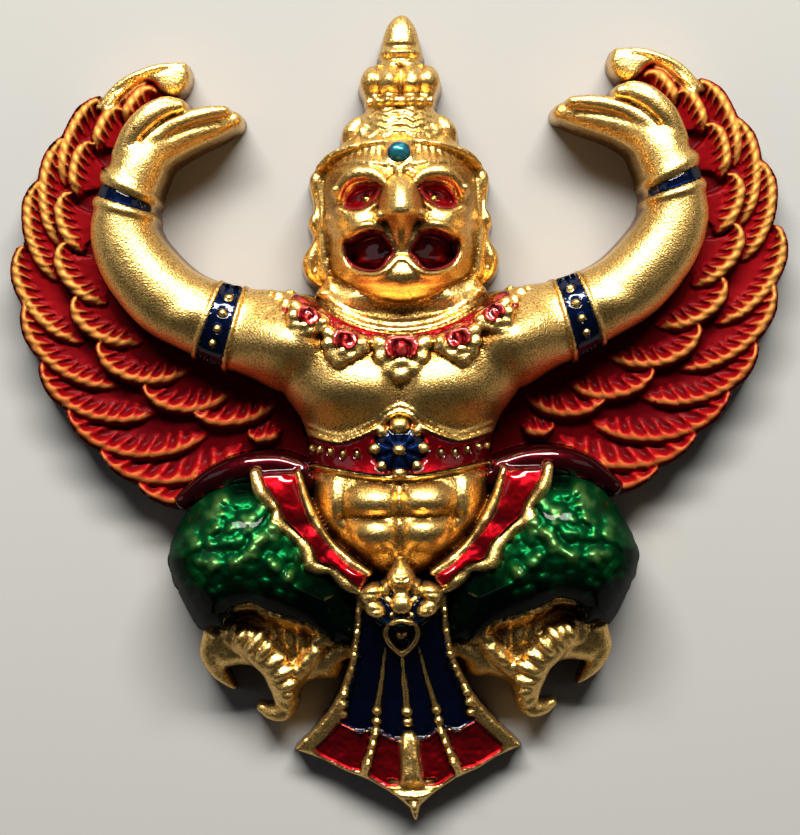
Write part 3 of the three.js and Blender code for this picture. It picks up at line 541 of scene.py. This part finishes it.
def belt(form):
    form.finish = redCell
    strap = [(-3.7, -0.4), (-2.3, -0.75), (-0.8, -0.2), (0.5, 0.1), (0.5, -2.1), (-1.1, -2.05), (-2.3, -1.9),
             (-3.5, -1.7)]
    form.thicken(strap, 0.1, 0.31)
    form.finish = bare
    form.wire([(-3.8, -0.33), (-2.3, -0.72), (-0.9, -0.22), (-0.38, 0.22), (0, 0.42)], 0.1, 0.14)
    form.wire([(-3.6, -0.12), (-2.25, -0.5), (-1, 0), (-0.45, 0.42), (0, 0.64)], 0.08, 0.04)
    form.wire([(-3.55, -1.68), (-2.3, -1.9), (-1.1, -2.1), (0, -2.2)], 0.1, 0.1)
    form.groove([(-3.5, -1.9), (-2.3, -2.12), (-1.1, -2.32), (0.4, -2.42)], 0.15, 0.1)
    for x, y, tall in ((-1.6, -1.2, 1.5), (-2.15, -1.22, 1.5), (-2.65, -1.12, 1.5), (-3.1, -1.05, 1.4),
                       (-3.45, -1, 1.3)):
        form.bead((x, y), 0.13, 0.04, tall)
    form.finish = blueCell
    form.mound((0, -1.05), (1, 1), 4.85, 0.35, power=0.6)
    for k in range(8):
        t = pi * (k + 0.5) / 4
        form.groove([(0.35 * cos(t), -1.05 + 0.35 * sin(t)), (1.05 * cos(t), -1.05 + 1.05 * sin(t))], 0.14, 0.07, 2)
    form.finish = bare
    for a, r in ((135, 0.2), (180, 0.22), (225, 0.2), (270, 0.2)):
        form.bead((0.93 * cos(radians(a)), -1.05 + 0.95 * sin(radians(a))), r, 0.05)
    form.bead((0, -0.15), 0.36, 0.05, 0.9)
    form.bead((0, -1.1), 0.2, 0.05)


thigh = {
    "outline": [
        (-4.6, -2.2), (-6, -2.15), (-7.25, -2.4), (-8.25, -3.1), (-9.05, -4.2), (-9.38, -5.2), (-9.15, -6.3),
        (-8.65, -7.3), (-8.1, -8.2), (-7.4, -8.35), (-6.85, -8.1), (-6.5, -7.65), (-6.7, -7.2), (-6.1, -7),
        (-5.3, -7.4), (-4.5, -7.65), (-3.8, -7.85), (-3.25, -8.2), (-2.75, -8.7), (-2.1, -9), (-1.6, -9), (-1.2, -7),
        (-1.5, -5.8), (-3, -4.6),
    ],
    "knobs": 0.64,  # mm from one to the next
    "over": 0.37,  # mm of glass over the metal between them
    "under": 0.8,  # mm of metal under the enamel's lower edge
    "foot": 1.9,  # level of the wall's foot
    "rise": 3.1,
}


def thighs(form):
    form.finish = scaled
    # at the cuff the metal goes on under the enamel's edge
    below = [(x, y - thigh["under"] if y < -6.5 and -7.3 < x < -2.5 else y) for x, y in thigh["outline"]]
    where, d = form.within(below, 0.9, 2)
    X, Y = form.places(where)
    t = 1 - np.clip(d / 3, 0, 1)
    inner = ease((X + 4.6) / 2.6)  # falls towards the tail
    gentle = 0.5 + 0.25 * ease((-5.6 - Y) / 1.8)  # how softly it falls to the foot
    top = thigh["foot"] + thigh["rise"] * dome(t * t, gentle) * (1 - 0.35 * inner)
    form.add(where, np.where(d > 0, top, thigh["foot"] + steep * d), 0.12)
    smooth = form.h[where].copy()
    rng = np.random.default_rng(7)
    step = thigh["knobs"]
    for row in range(8):
        for k in range(9):
            x, y = (-9.1 + step * (k + 0.5 * (row % 2)), -2.95 - 0.85 * step * row) + rng.normal(0, 0.12, 2)
            size, turn = rng.uniform(0.75, 1.35), rng.uniform(-0.8, 1.2)
            if x > -5 + 0.3 * row or hypot(x + 6.4, (y + 5.4) * 0.9) > 2.75 or y < -7.2:
                continue
            size *= 1.1 - 0.55 * max(0, -5.4 - y) / 1.6
            c, t = size * cos(turn), size * sin(turn)
            if rng.random() < 0.06 and y < -5:
                curl = [(-0.24, -0.14), (-0.18, 0.14), (0.1, 0.19), (0.24, -0.02), (0.1, -0.14)]
                form.wire([(x + u * c - v * t, y + u * t + v * c) for u, v in curl], 0.1 * size, 0.06, 0.06)
            else:
                form.swell((x, y), (0.4 * size, 0.3 * size), rng.uniform(0.13, 0.24) * size, degrees(turn), 1.4)
    # the glass is made deeper, so darker green, towards the bottom, the tail and the top and left edges: painted shade
    low = ease((-5.6 - Y) / 1.8)
    over = thigh["over"] + 0.03 * lumpy(X, Y, 1.1, 5) + 0.2 * low + 0.2 * inner
    over = over * (0.7 + 0.3 * ease(d / 0.5)) + 0.15 * ease((Y + 3.3) / 0.9) + 0.12 * ease(-8 - X)
    cover = form.cover[where] == scaled
    settle(form.deep, where, cover, np.maximum(smooth + over - form.h[where], 0.08))
    settle(form.rough, where, cover, 0.04)
    where, d = form.within(thigh["outline"], 1.8, 2)
    X, Y = form.places(where)
    clear = (form.cover[where] == scaled) & (d + 0.08 * lumpy(X, Y, 0.25, 3) < 0)
    form.finish = bare
    form.claim(where, clear)
    for k in range(11):  # ragged edge of the metal
        x = -6.7 + 0.38 * k
        y = np.interp(x, [-6.7, -6.1, -5.3, -4.5, -3.8, -3.25, -2.75], [-7.3, -7.15, -7.5, -7.75, -7.95, -8.3, -8.8])
        form.mound((x, y), (0.26, 0.13), form.height(x, y) - 0.05, 0.14 + 0.08 * (k % 2), 25 - 9 * k)


def sash(form):
    outer = [(-5.75, -1.95), (-5.5, -2.7), (-4.95, -3.4), (-4.9, -3.85), (-4.3, -4.3), (-3.7, -4.95), (-3.45, -5.6),
             (-2.7, -5.75), (-2.1, -6.3), (-1.55, -6.6)]
    inner = [(-4, -1.9), (-3.7, -3), (-3.25, -3.95), (-2.65, -4.75), (-1.95, -5.45), (-1.2, -5.95)]
    form.finish = redCell
    whole = outer + inner[::-1]
    form.cushion(whole, lambda X, Y: 4.15 - 0.05 * (Y + 4), 0.3, 0.5, blend=0.04)
    form.finish = bare
    widths = (0.2, 0.3, 0.22, 0.34, 0.24, 0.3, 0.36, 0.24, 0.3, 0.2)
    form.bar([(*p, 4.35 - 0.02 * k, w) for k, (p, w) in enumerate(zip(outer, widths))], 1.3, blend=0.03)
    thin = (0.08, 0.13, 0.17, 0.08, 0.16, 0.1)
    form.bar([(*p, 4.36, w) for p, w in zip(inner, thin)], 1.3, blend=0.08)
    where, d = form.within(whole, 0.3)
    X, Y = form.places(where)
    folds = 0.08 * np.sin(2.6 * (Y - 0.75 * X) + 1.6 * lumpy(X, Y, 1.3, 4)) + 0.05 * lumpy(X, Y, 0.8, 9)
    red = (form.cover[where] == redCell) & (d > 0)
    form.h[where] += np.where(red, folds * ease(d / 0.4), 0)
    settle(form.deep, where, red, 0.26 - 0.8 * folds)
    settle(form.rough, where, (d > -0.4) & (form.cover[where] == bare), 0.05)


def feet(form):
    sole = [(-8.05, -8.4), (-8.1, -9.1), (-7.9, -9.5), (-7.3, -9.75), (-6.6, -9.65), (-5.95, -9.8), (-5.5, -10.4),
            (-5.2, -11.1), (-4.6, -11.4), (-4.2, -10.7), (-3.9, -10.4), (-3.3, -10.25), (-2.6, -10.2), (-2, -9.3),
            (-2.2, -8.6), (-3.2, -8), (-4.2, -7.4), (-6.2, -7), (-7.4, -7.9)]
    form.cushion(sole, 1.5, 1.1, 0.8, steps=2)
    claw = [(-7.5, -8.55, 2.1, 0.6), (-7.72, -9.15, 1.9, 0.48), (-7.5, -9.85, 1.5, 0.36), (-7.15, -10.35, 1.2, 0.2),
            (-6.9, -10.62, 1.1, 0.07)]
    form.bar(claw, 1.2)
    toe = [(-7.1, -8.45, 2.2, 0.6), (-6.3, -8.55, 2.5, 0.62), (-5.65, -9.1, 2.5, 0.66), (-5.15, -9.65, 2.4, 0.64),
           (-4.87, -10.4, 2.1, 0.6), (-4.8, -11.1, 1.7, 0.46)]
    form.bar(toe)
    nail = [(-4.75, -11.1, 1.4, 0.45), (-4.95, -11.55, 1.3, 0.42), (-5.4, -11.62, 1.2, 0.32), (-5.82, -11.45, 1, 0.2)]
    form.bar(nail, 1.2)
    form.bar([(-3.1, -8.5, 2.5, 0.4), (-3.6, -9.2, 2.5, 0.45), (-4.15, -9.8, 2.3, 0.42), (-4.6, -10.3, 2, 0.36)], 1.1)
    form.bar([(-2.2, -9, 2.4, 0.4), (-3, -9.4, 2.3, 0.4), (-3.7, -9.9, 2, 0.35)])
    form.swell((-5, -8.3), (1.6, 0.9), 0.2, -12, 1)
    # folds of skin behind the toe
    for x, y, x1, y1 in ((-5.7, -7.5, -5.2, -8.5), (-5, -7.75, -4.6, -8.8), (-4.3, -7.95, -4.1, -9),
                         (-3.6, -8.3, -3.6, -8.9)):
        form.wire([(x, y), (0.5 * (x + x1) + 0.1, 0.5 * (y + y1)), (x1, y1)], 0.13, -0.02, 0.12)
    rng = np.random.default_rng(21)
    scutes = ((-6.95, -8.3, 0.44, 60), (-6.45, -8.42, 0.5, 50), (-5.95, -8.7, 0.52, 42), (-5.55, -9.05, 0.54, 38),
              (-5.15, -9.45, 0.54, 30), (-4.88, -9.9, 0.52, 20), (-4.75, -10.4, 0.46, 10), (-4.72, -10.85, 0.38, 0),
              (-3.15, -8.6, 0.34, 40), (-3.45, -9.05, 0.38, 35), (-3.8, -9.45, 0.38, 35), (-4.2, -9.85, 0.34, 30))
    for x, y, w, slant in scutes:
        x, y, w = x + rng.normal(0, 0.04), y + rng.normal(0, 0.03), w * rng.uniform(0.85, 1.15)
        rise, turn = rng.uniform(0.24, 0.34), slant + rng.normal(0, 8)
        form.mound((x, y), (w, 0.25), form.height(x, y) - 0.12, rise, turn, blend=0.04)
    form.roughen([(-8.6, -7.2), (-8.6, -12.5), (-3.8, -12.5), (-1.9, -10.2), (-1.9, -8), (-4, -7)], 0.045)


apron = {
    "edge": [(-1.75, -6.6), (-1.8, -8), (-2.05, -9.5), (-2.55, -10.8), (-3.05, -11.6), (-3.75, -12.4), (-4.5, -13.1)],
    "hem": [(-4.35, -13.25), (-3.45, -13.6), (-2.65, -14.05), (-1.75, -14.4), (-0.75, -15), (-0.2, -15.5), (0, -16.12)],
}


def apronLevel(X, Y):
    return np.interp(Y, [-16.2, -14.5, -13, -11, -9, -6.5], [1.2, 1.3, 1.55, 2.3, 3.3, 4.1]) - 0.09 * np.abs(X) ** 1.4


def aprons(form):
    around = apron["edge"] + apron["hem"] + [(0.6, -15.4), (0.6, -6.6)]
    form.cushion(around, apronLevel, 0.35, 0.3, blend=0.03)
    border = [(-1.55, -7.2), (-1.62, -8), (-1.88, -9.5), (-2.34, -10.9), (-2.66, -11.6)]
    foot = [(-2.7, -12.1), (-1.9, -12.45), (-1.25, -12.3), (-0.6, -12.75), (0.6, -12.7), (0.6, -7.2)]
    form.cell(border + foot, blueCell, 0.32)
    outer = [(-2.72, -12), (-3.2, -12.5), (-3.8, -13.1), (-3.7, -13.35), (-3.2, -13.62), (-2.5, -13.98),
             (-1.98, -14.08), (-1.55, -13.2), (-1.4, -12.3), (-1.9, -12.45)]
    inner = [(-1.25, -12.3), (-1.42, -13), (-1.72, -13.8), (-1.7, -14.25), (-1, -14.7), (-0.4, -14.7), (-0.36, -12.75),
             (-0.65, -12.7)]
    for outline in (outer, inner):
        form.cell(outline, redCell, 0.32, pool=(0.22, 0.2))
    for line in ([(-0.62, -8.9), (-0.85, -10.2), (-1.12, -11.4)], [(0, -9.4), (0, -11.4)]):
        rib = [(x, y, apronLevel(x, y) + 0.1, 0.1 * (0.45 + 0.35 * k)) for k, (x, y) in enumerate(line)]
        form.bar(rib, 1.6, blend=0.04)
    for x, y, r in ((-1.15, -11.55, 0.2), (-1.2, -11.98, 0.19), (0, -11.6, 0.19), (0, -12.02, 0.18),
                    (-2.45, -11.25, 0.19), (-2.5, -11.68, 0.18), (-2.35, -10.85, 0.13)):
        form.bead((x, y), r, 0.12)
    leaf = [(-1.22, -12.2, 1.9, 0.1), (-1.35, -12.6, 1.8, 0.17), (-1.52, -13.2, 1.7, 0.15), (-1.75, -13.8, 1.6, 0.2),
            (-1.85, -14.2, 1.4, 0.12)]
    form.bar(leaf, 1.6)
    for k in range(4):
        form.bead((-1.28 - 0.13 * k, -12.5 - 0.4 * k), 0.14, 0.02)
    tongue = [(-0.2, -12.4), (-0.36, -12.9), (-0.42, -14.5), (0.42, -14.5), (0.36, -12.9), (0.2, -12.4)]
    form.cushion(tongue, 1.55, 0.6, 0.25)
    form.groove([(0, -12.6), (0, -14.4)], 0.1, 0.07)
    for y, half in ((-14.5, 0.85), (-15, 0.8)):
        form.wire([(-half, y + 0.06), (-0.4, y - 0.02), (0, y - 0.05)], 0.1, 0.06)
    form.bead((0, -15.5), 0.14, tall=1.5)
    for k, (x, y) in enumerate(curve(apron["edge"], 5)):
        form.bead((x + 0.12, y), 0.14 + 0.03 * sin(2.3 * k), -0.06)
    form.roughen([(-4.8, -13.1), (-2.4, -11), (-1.75, -9), (-1.4, -9), (-2.2, -12), (-0.5, -12.3), (0.8, -12.3),
                  (0.8, -16.3), (-0.5, -16.3)], 0.05)


def clasp(form):
    form.finish = blueCell
    form.mound((0, -7.05), (1.25, 0.95), 4.45, 0.35)
    form.finish = bare
    for x, y, rx, ry, turn in ((-1.12, -6.72, 0.5, 0.36, 25), (-0.98, -7.32, 0.46, 0.32, -25),
                               (-0.55, -6.5, 0.2, 0.3, 0)):
        form.mound((x, y), (rx, ry), 4.6, 0.5, turn, blend=0.03)
        form.groove([(x - rx, y), (x + 0.5 * rx, y)], 0.1, 0.06, 2)
    form.bar([(0, -6.6, 4.8, 0.3), (0, -6.2, 4.95, 0.5), (0, -5.8, 4.9, 0.36), (0, -5.42, 4.7, 0.08)], blend=0.03)
    for k in range(3):
        y = -6.45 + 0.27 * k
        form.groove([(-0.42, y + 0.2), (0, y), (0.42, y + 0.2)], 0.12, 0.05, 2)
    form.bead((0, -7.1), 0.4, 0.12)
    for place in ((-0.5, -6.95), (-0.35, -7.55)):
        form.bead(place, 0.12, 0.05)
    drop = [(0, -7.75), (-0.45, -7.95), (-0.6, -8.35), (-0.4, -8.8), (0, -9.2)]
    form.wire(drop, 0.11, 0.22)
    form.bead((0, -8.4), 0.2, 0.02)
    form.roughen([(-1.8, -5.3), (-1.8, -7.9), (0.8, -7.9), (0.8, -5.3)], 0.05)


# how each covering lies: its piece, and in mm how smooth its surface is, its fill over that and its least thickness
coats = {
    feathered: ("wing_enamel", 0.3, 0.06, 0.015),
    redCell: ("red_enamel", 0.1, 0.13, 0.03),
    scaled: ("green_enamel", 0.4, 0.04, 0.01),
    blueCell: ("blue_enamel", 0.1, 0.12, 0.03),
    gem: ("blue_enamel", 0.05, 0.03, 0.03),
}

casting = {
    "pitch": 0.04,  # mm, grid of the heights
    "voxel": 0.08,
    "goldTriangles": 195_000,
    "enamelTriangles": 150_000,
    "coat": 0.05,  # mm that an enamel skin stands over the metal
    "sunk": 0.14,  # mm that it reaches into the metal, out of sight
    "bareFoot": 0.4,  # mm of bare gold over the table
    "rightTurn": 0.045,  # the right wing sits a little steeper and higher
    "rightUp": 0.3,  # mm
    "corner": (-15.9, -16.7, -0.4),  # mm, of the block that the field of distances fills
    "span": (31.8, 33.3, 8.6),
    # the figure isn't quite straight: its middle line leans this far at these heights
    "lean": ([-16, -13, -9, -1, 3, 7, 10.4, 13, 16.2], [0.25, 0.08, -0.15, -0.13, 0.05, 0.12, 0.07, 0.15, 0.25]),
}


def sculpt():
    form = Relief(-15.9, 0.8, -16.8, 16.6, casting["pitch"])
    upper = (wings, arms, hands, torso, neck, skull, face, crown, necklace)
    for part in (*upper, thighs, feet, sash, belt, aprons, clasp):
        form.finish = bare
        part(form)
    print("sculpted the left half")
    return form


class Figure:  # the whole figure's heights, what covers it and where each enamel's surface lies
    def __init__(self, form):
        self.pitch = form.pitch
        half = int(np.searchsorted(form.x, -1e-6)) + 1
        xs = np.concatenate([form.x[:half], -form.x[: half - 1][::-1]])
        self.x, self.y = xs, form.y
        lean = np.interp(form.y, *casting["lean"])
        fade = np.clip((5 - np.abs(xs)) / 2, 0, 1)  # arms and wings don't lean
        X, Y = np.meshgrid(xs, form.y)
        right = ease((X - 4) / 6) * ease((Y + 6) / 3)  # 1 over the right arm and wing
        fromX = X - lean[:, None] * fade - casting["rightTurn"] * (Y - 6) * right
        fromY = Y - casting["rightUp"] * right

        def whole(a):
            return self.at(np.concatenate([a[:, :half], a[:, : half - 1][:, ::-1]], 1), fromX, fromY)

        plain = whole(form.h)
        lumps = 0.6 * lumpy(X, Y, 0.26, 11) + 0.4 * lumpy(X + 3, Y, 0.13, 12)
        self.h = plain + whole(form.rough) * lumps
        deep = whole(form.deep)
        gy, gx = np.gradient(self.h, self.pitch)
        self.slope = np.sqrt(1 + gx * gx + gy * gy)
        self.normal = np.stack([-gx, -gy, np.ones_like(gx)], -1) / self.slope[..., None]
        # painted shade: how far the surface lies below its blurred surroundings, used to darken and warm the gold in
        # hollows
        smooth = blurred(np.maximum(self.h, 0), self.pitch, 0.35)
        self.hollowShade = np.clip((smooth - self.h) / 0.35, 0, 1)
        self.level, self.cover = {}, {}
        for kind, (name, smoothing, over, least) in coats.items():
            share = blurred(whole((form.cover == kind).astype(float)), self.pitch, 0.05)
            solid = (share > 0.5) * 1.0
            known = blurred(solid, self.pitch, smoothing)
            level = blurred(self.h * solid, self.pitch, smoothing) / np.maximum(known, 1e-3)
            level = np.where(deep > 0.005, plain + deep, level + over)
            level = np.maximum(level, self.h + least)
            inside = (share - 0.5) * 0.15  # near the edge, about the distance inwards
            before = self.cover.get(name, -1.0)
            self.level[name] = np.where(inside > before, level, self.level.get(name, 0.0))
            self.cover[name] = np.maximum(inside, before)

    def at(self, a, x, y):
        fx = np.clip((x - self.x[0]) / self.pitch, 0, len(self.x) - 1.001)
        fy = np.clip((y - self.y[0]) / self.pitch, 0, len(self.y) - 1.001)
        i, j = fx.astype(int), fy.astype(int)
        u, v = fx - i, fy - j
        if a.ndim == 3:
            u, v = u[..., None], v[..., None]
        low, high = (mixed(a[k, i], a[k, i + 1], u) for k in (j, j + 1))
        return mixed(low, high, v)


def closedMesh(name, field, corner, step, most):  # the surface where a field of distances is nought
    grid = openvdb.FloatGrid(float(field[0, 0, -1]))
    grid.copyFromArray(field.astype(np.float32))
    points, quads = grid.convertToQuads(0.0)
    points = (points * step + corner) * millimetre
    mesh = bpy.data.meshes.new(name)
    mesh.from_pydata(points.tolist(), [], quads.tolist())
    obj = placed(name, mesh)
    print(f"{name}: {2 * len(quads)} triangles from the field")
    if 2 * len(quads) > most:
        thin = obj.modifiers.new("fewer faces", "DECIMATE")
        thin.ratio = most / (2 * len(quads))
        shaped = bpy.data.meshes.new_from_object(obj.evaluated_get(bpy.context.evaluated_depsgraph_get()))
        obj.modifiers.clear()
        obj.data = shaped
        bpy.data.meshes.remove(mesh)
    obj.data.name = name
    obj.data.shade_smooth()
    return obj


def vertices(obj):
    co = np.empty(len(obj.data.vertices) * 3, np.float32)
    obj.data.vertices.foreach_get("co", co)
    return co.reshape(-1, 3) / millimetre


def attribute(obj, name, values):
    kind, field = ("FLOAT_VECTOR", "vector") if values.ndim == 2 else ("FLOAT", "value")
    obj.data.attributes.new(name, kind, "POINT").data.foreach_set(field, values.astype(np.float32).ravel())


def cast(figure):
    step, corner = casting["voxel"], np.array(casting["corner"])
    x, y, z = (start + step * np.arange(int(length / step)) for start, length in zip(corner, casting["span"]))
    X, Y = np.meshgrid(x, y, indexing="ij")
    slope = figure.at(figure.slope, X, Y)[..., None]
    metal = (z - figure.at(figure.h, X, Y)[..., None]) / slope
    field = np.clip(np.maximum(metal, -z), -1, 1)
    made = {"casting": closedMesh("garuda_casting_plated", field, corner, step, casting["goldTriangles"])}
    for name in sorted(figure.level):
        level, cover = figure.at(figure.level[name], X, Y), figure.at(figure.cover[name], X, Y)
        field = np.minimum(metal - casting["coat"], (z - level[..., None]) / slope)
        field = np.maximum(field, -(metal + casting["sunk"]))
        field = np.maximum(np.maximum(field, -cover[..., None]), casting["bareFoot"] - z)
        made[name] = closedMesh(name, np.clip(field, -1, 1), corner, step, casting["enamelTriangles"])
        p = vertices(made[name])
        depth = figure.at(figure.level[name] - figure.h, p[:, 0], p[:, 1])
        attribute(made[name], "depth", np.clip(depth, 0, 1))
        attribute(made[name], "metalNormal", figure.at(figure.normal, p[:, 0], p[:, 1]) * 0.5 + 0.5)
    p = vertices(made["casting"])
    attribute(made["casting"], "hollowShade", figure.at(figure.hollowShade, p[:, 0], p[:, 1]))
    return made


def linear(hexCode):  # sRGB hex to the linear colour that a shader takes
    parts = [int(hexCode[k : k + 2], 16) / 255 for k in (1, 3, 5)]
    return (*(c / 12.92 if c <= 0.04045 else ((c + 0.055) / 1.055) ** 2.4 for c in parts), 1.0)


def addNode(tree, kind, inputs={}, links={}, **settings):
    node = tree.nodes.new("ShaderNode" + kind)
    for name, value in settings.items():
        setattr(node, name, value)
    for socket, value in inputs.items():
        node.inputs[socket].default_value = value
    for socket, source in links.items():
        tree.links.new(source, node.inputs[socket])
    return node


def newMaterial(name):
    material = bpy.data.materials.new(name)
    material.use_nodes = True
    material.node_tree.nodes.clear()
    return material, material.node_tree


plating = {
    "bright": "#EDC474",
    # deep: the colour of the grain's pits, and of the painted shade in hollows
    "deep": "#7C4E18",
    "grit": 0.07,  # mm, the blasted grain of the casting under the plating
    "gritDepth": 0.022,
    "pits": (-2.4, 1.2),  # how the grain's noise darkens the gold: times and plus
    "patch": 1.4,  # mm
    "patchWarmth": 0.4,
    "roughness": (0.27, 0.42),
}


def goldPlate():
    # electroplated gold over a cast and lightly blasted base: satin, with a sparkling grain, and painted shade that
    # makes the hollows darker and warmer
    material, tree = newMaterial("satin_gold_plate")
    place = {"Vector": addNode(tree, "TexCoord").outputs["Object"]}
    grain = addNode(tree, "TexNoise", {"Scale": 1 / (plating["grit"] * millimetre), "Detail": 1.0}, place)
    patches = addNode(tree, "TexNoise", {"Scale": 1 / (plating["patch"] * millimetre), "Detail": 4.0}, place)
    hollowShade = addNode(tree, "Attribute", attribute_name="hollowShade")
    times, plus = plating["pits"]
    pits = addNode(tree, "Math", {1: times, 2: plus}, {0: grain.outputs["Fac"]}, operation="MULTIPLY_ADD")
    patchy = {0: patches.outputs["Fac"], 2: pits.outputs[0]}
    warm = addNode(tree, "Math", {1: plating["patchWarmth"]}, patchy, operation="MULTIPLY_ADD")
    # the gold mixes towards the deep colour by the grain's pits and random patches, and by painted shade in hollows
    both = {0: hollowShade.outputs["Fac"], 1: warm.outputs[0]}
    amount = addNode(tree, "Math", {}, both, operation="ADD", use_clamp=True)
    colours = {"A": linear(plating["bright"]), "B": linear(plating["deep"])}
    colour = addNode(tree, "Mix", colours, {"Factor": amount.outputs[0]}, data_type="RGBA")
    least, most = plating["roughness"]
    rough = addNode(tree, "MapRange", {"To Min": least, "To Max": most}, {"Value": patches.outputs["Fac"]})
    depth = {"Strength": 1.0, "Distance": plating["gritDepth"] * millimetre}
    bump = addNode(tree, "Bump", depth, {"Height": grain.outputs["Fac"]})
    links = {"Base Color": colour.outputs["Result"], "Roughness": rough.outputs["Result"],
             "Normal": bump.outputs["Normal"]}
    shader = addNode(tree, "BsdfPrincipled", {"Metallic": 1.0}, links)
    addNode(tree, "OutputMaterial", {}, {"Surface": shader.outputs[0]})
    return material


# colours where the glass is thin over the gold, middling and deep; mm of it that hide the gold; how much it shines like
# the metal below and how rough that is; weight and roughness of the glossy top
enamels = {
    "wing_enamel": ("#B8843E", "#76070B", "#260205", 0.34, 0.3, 0.55, 0.04, 0.3),
    # the thin red is thin red glass over gold, made pinker as a painted highlight
    "red_enamel": ("#B8403A", "#82040C", "#280205", 0.4, 0.8, 0.4, 0.6, 0.04),
    "green_enamel": ("#547A3E", "#064621", "#010F07", 0.52, 0.85, 0.4, 0.12, 0.04),
    "blue_enamel": ("#2A7478", "#06183A", "#020414", 0.13, 0.6, 0.35, 0.5, 0.07),
}


def clearEnamel(name):
    # transparent glass enamel over bright plating: the metal's relief shines through, redder or greener with depth,
    # under a smooth glossy surface of its own
    thin, middle, deep, hides, metal, below, top, topRough = enamels[name]
    material, tree = newMaterial("clear_" + name)
    depth = addNode(tree, "Attribute", attribute_name="depth")
    under = addNode(tree, "Attribute", attribute_name="metalNormal")
    share = addNode(tree, "MapRange", {"From Max": hides}, {"Value": depth.outputs["Fac"]})
    ramp = addNode(tree, "ValToRGB", {}, {"Fac": share.outputs["Result"]})
    stops = ramp.color_ramp.elements
    stops[0].color, stops[1].color = linear(thin), linear(deep)
    stops.new(0.4).color = linear(middle)
    metalNormal = addNode(tree, "NormalMap", {}, {"Color": under.outputs["Color"]}, space="OBJECT")
    glass = {"Metallic": metal, "Roughness": below, "Specular IOR Level": 0.1, "Specular Tint": linear(middle),
             "Coat Weight": top, "Coat Roughness": topRough, "Coat IOR": 1.45}
    links = {"Base Color": ramp.outputs["Color"], "Normal": metalNormal.outputs["Normal"]}
    shader = addNode(tree, "BsdfPrincipled", glass, links)
    addNode(tree, "OutputMaterial", {}, {"Surface": shader.outputs[0]})
    return material


studio = {
    "floor": "#7E7D7B",
    "air": "#C9CDD6",
    "airStrength": 0.06,
    "acrossTable": 0.6,  # m
    "cameraAway": 0.11,  # m, from the middle of the figure's depth
    "frameWidth": 0.032,  # m of the table across the picture there
    "roll": -1.0,  # degrees
    "aim": (-0.00003, 0.00016, 0.002),
}


def mattTable():  # flat paint, with no more shine than paper
    material, tree = newMaterial("pale_matt_table")
    shader = addNode(tree, "BsdfPrincipled", {"Base Color": linear(studio["floor"]), "Roughness": 0.8})
    addNode(tree, "OutputMaterial", {}, {"Surface": shader.outputs[0]})
    return material


def stage():
    half = studio["acrossTable"] / 2
    mesh = bpy.data.meshes.new("table_top")
    mesh.from_pydata([(-half, -half, 0), (half, -half, 0), (half, half, 0), (-half, half, 0)], [], [(0, 1, 2, 3)])
    mesh.materials.append(mattTable())
    table = placed("table_top", mesh)
    world = bpy.data.worlds.new("soft_room")
    bpy.context.scene.world = world
    world.use_nodes = True
    background = world.node_tree.nodes["Background"].inputs
    background["Color"].default_value = linear(studio["air"])
    background["Strength"].default_value = studio["airStrength"]
    lamps = [  # place in m, size, power in W, colour
        ("window_above", (0.0, 0.155, 0.155), (0.2, 0.04), 2.1, "#FFFDF6"),
        ("soft_left", (-0.26, 0.05, 0.2), (0.12, 0.16), 0.07, "#F4F6FF"),
        ("soft_right", (0.26, 0.05, 0.22), (0.12, 0.16), 0.06, "#FFF4E2"),
    ]
    for name, place, size, power, colour in lamps:
        data = bpy.data.lights.new(name, "AREA")
        data.shape = "RECTANGLE"
        data.size, data.size_y = size
        data.energy = power
        data.color = linear(colour)[:3]
        lamp = placed(name, data)
        lamp.location = place
        lamp.rotation_euler = (Vector((0, 0, 0.003)) - Vector(place)).to_track_quat("-Z", "Y").to_euler()
    data = bpy.data.cameras.new("camera")
    data.sensor_fit = "HORIZONTAL"
    data.sensor_width = 36
    data.lens = 36 * studio["cameraAway"] / studio["frameWidth"]
    data.clip_start = 0.005
    camera = placed("camera", data)
    x, y, z = studio["aim"]
    camera.location = (x, y, z + studio["cameraAway"])
    camera.rotation_euler = (0, 0, radians(studio["roll"]))
    bpy.context.scene.camera = camera
    bpy.context.scene.view_settings.view_transform = "Standard"
    print("stage, lights and camera are set")


stage()
figure = Figure(sculpt())
pieces = cast(figure)
for name, piece in pieces.items():
    piece.data.materials.clear()
    piece.data.materials.append(goldPlate() if name == "casting" else clearEnamel(name))
    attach(piece, "root")
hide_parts("garuda_casting")
print("pieces are finished and ride on the root")
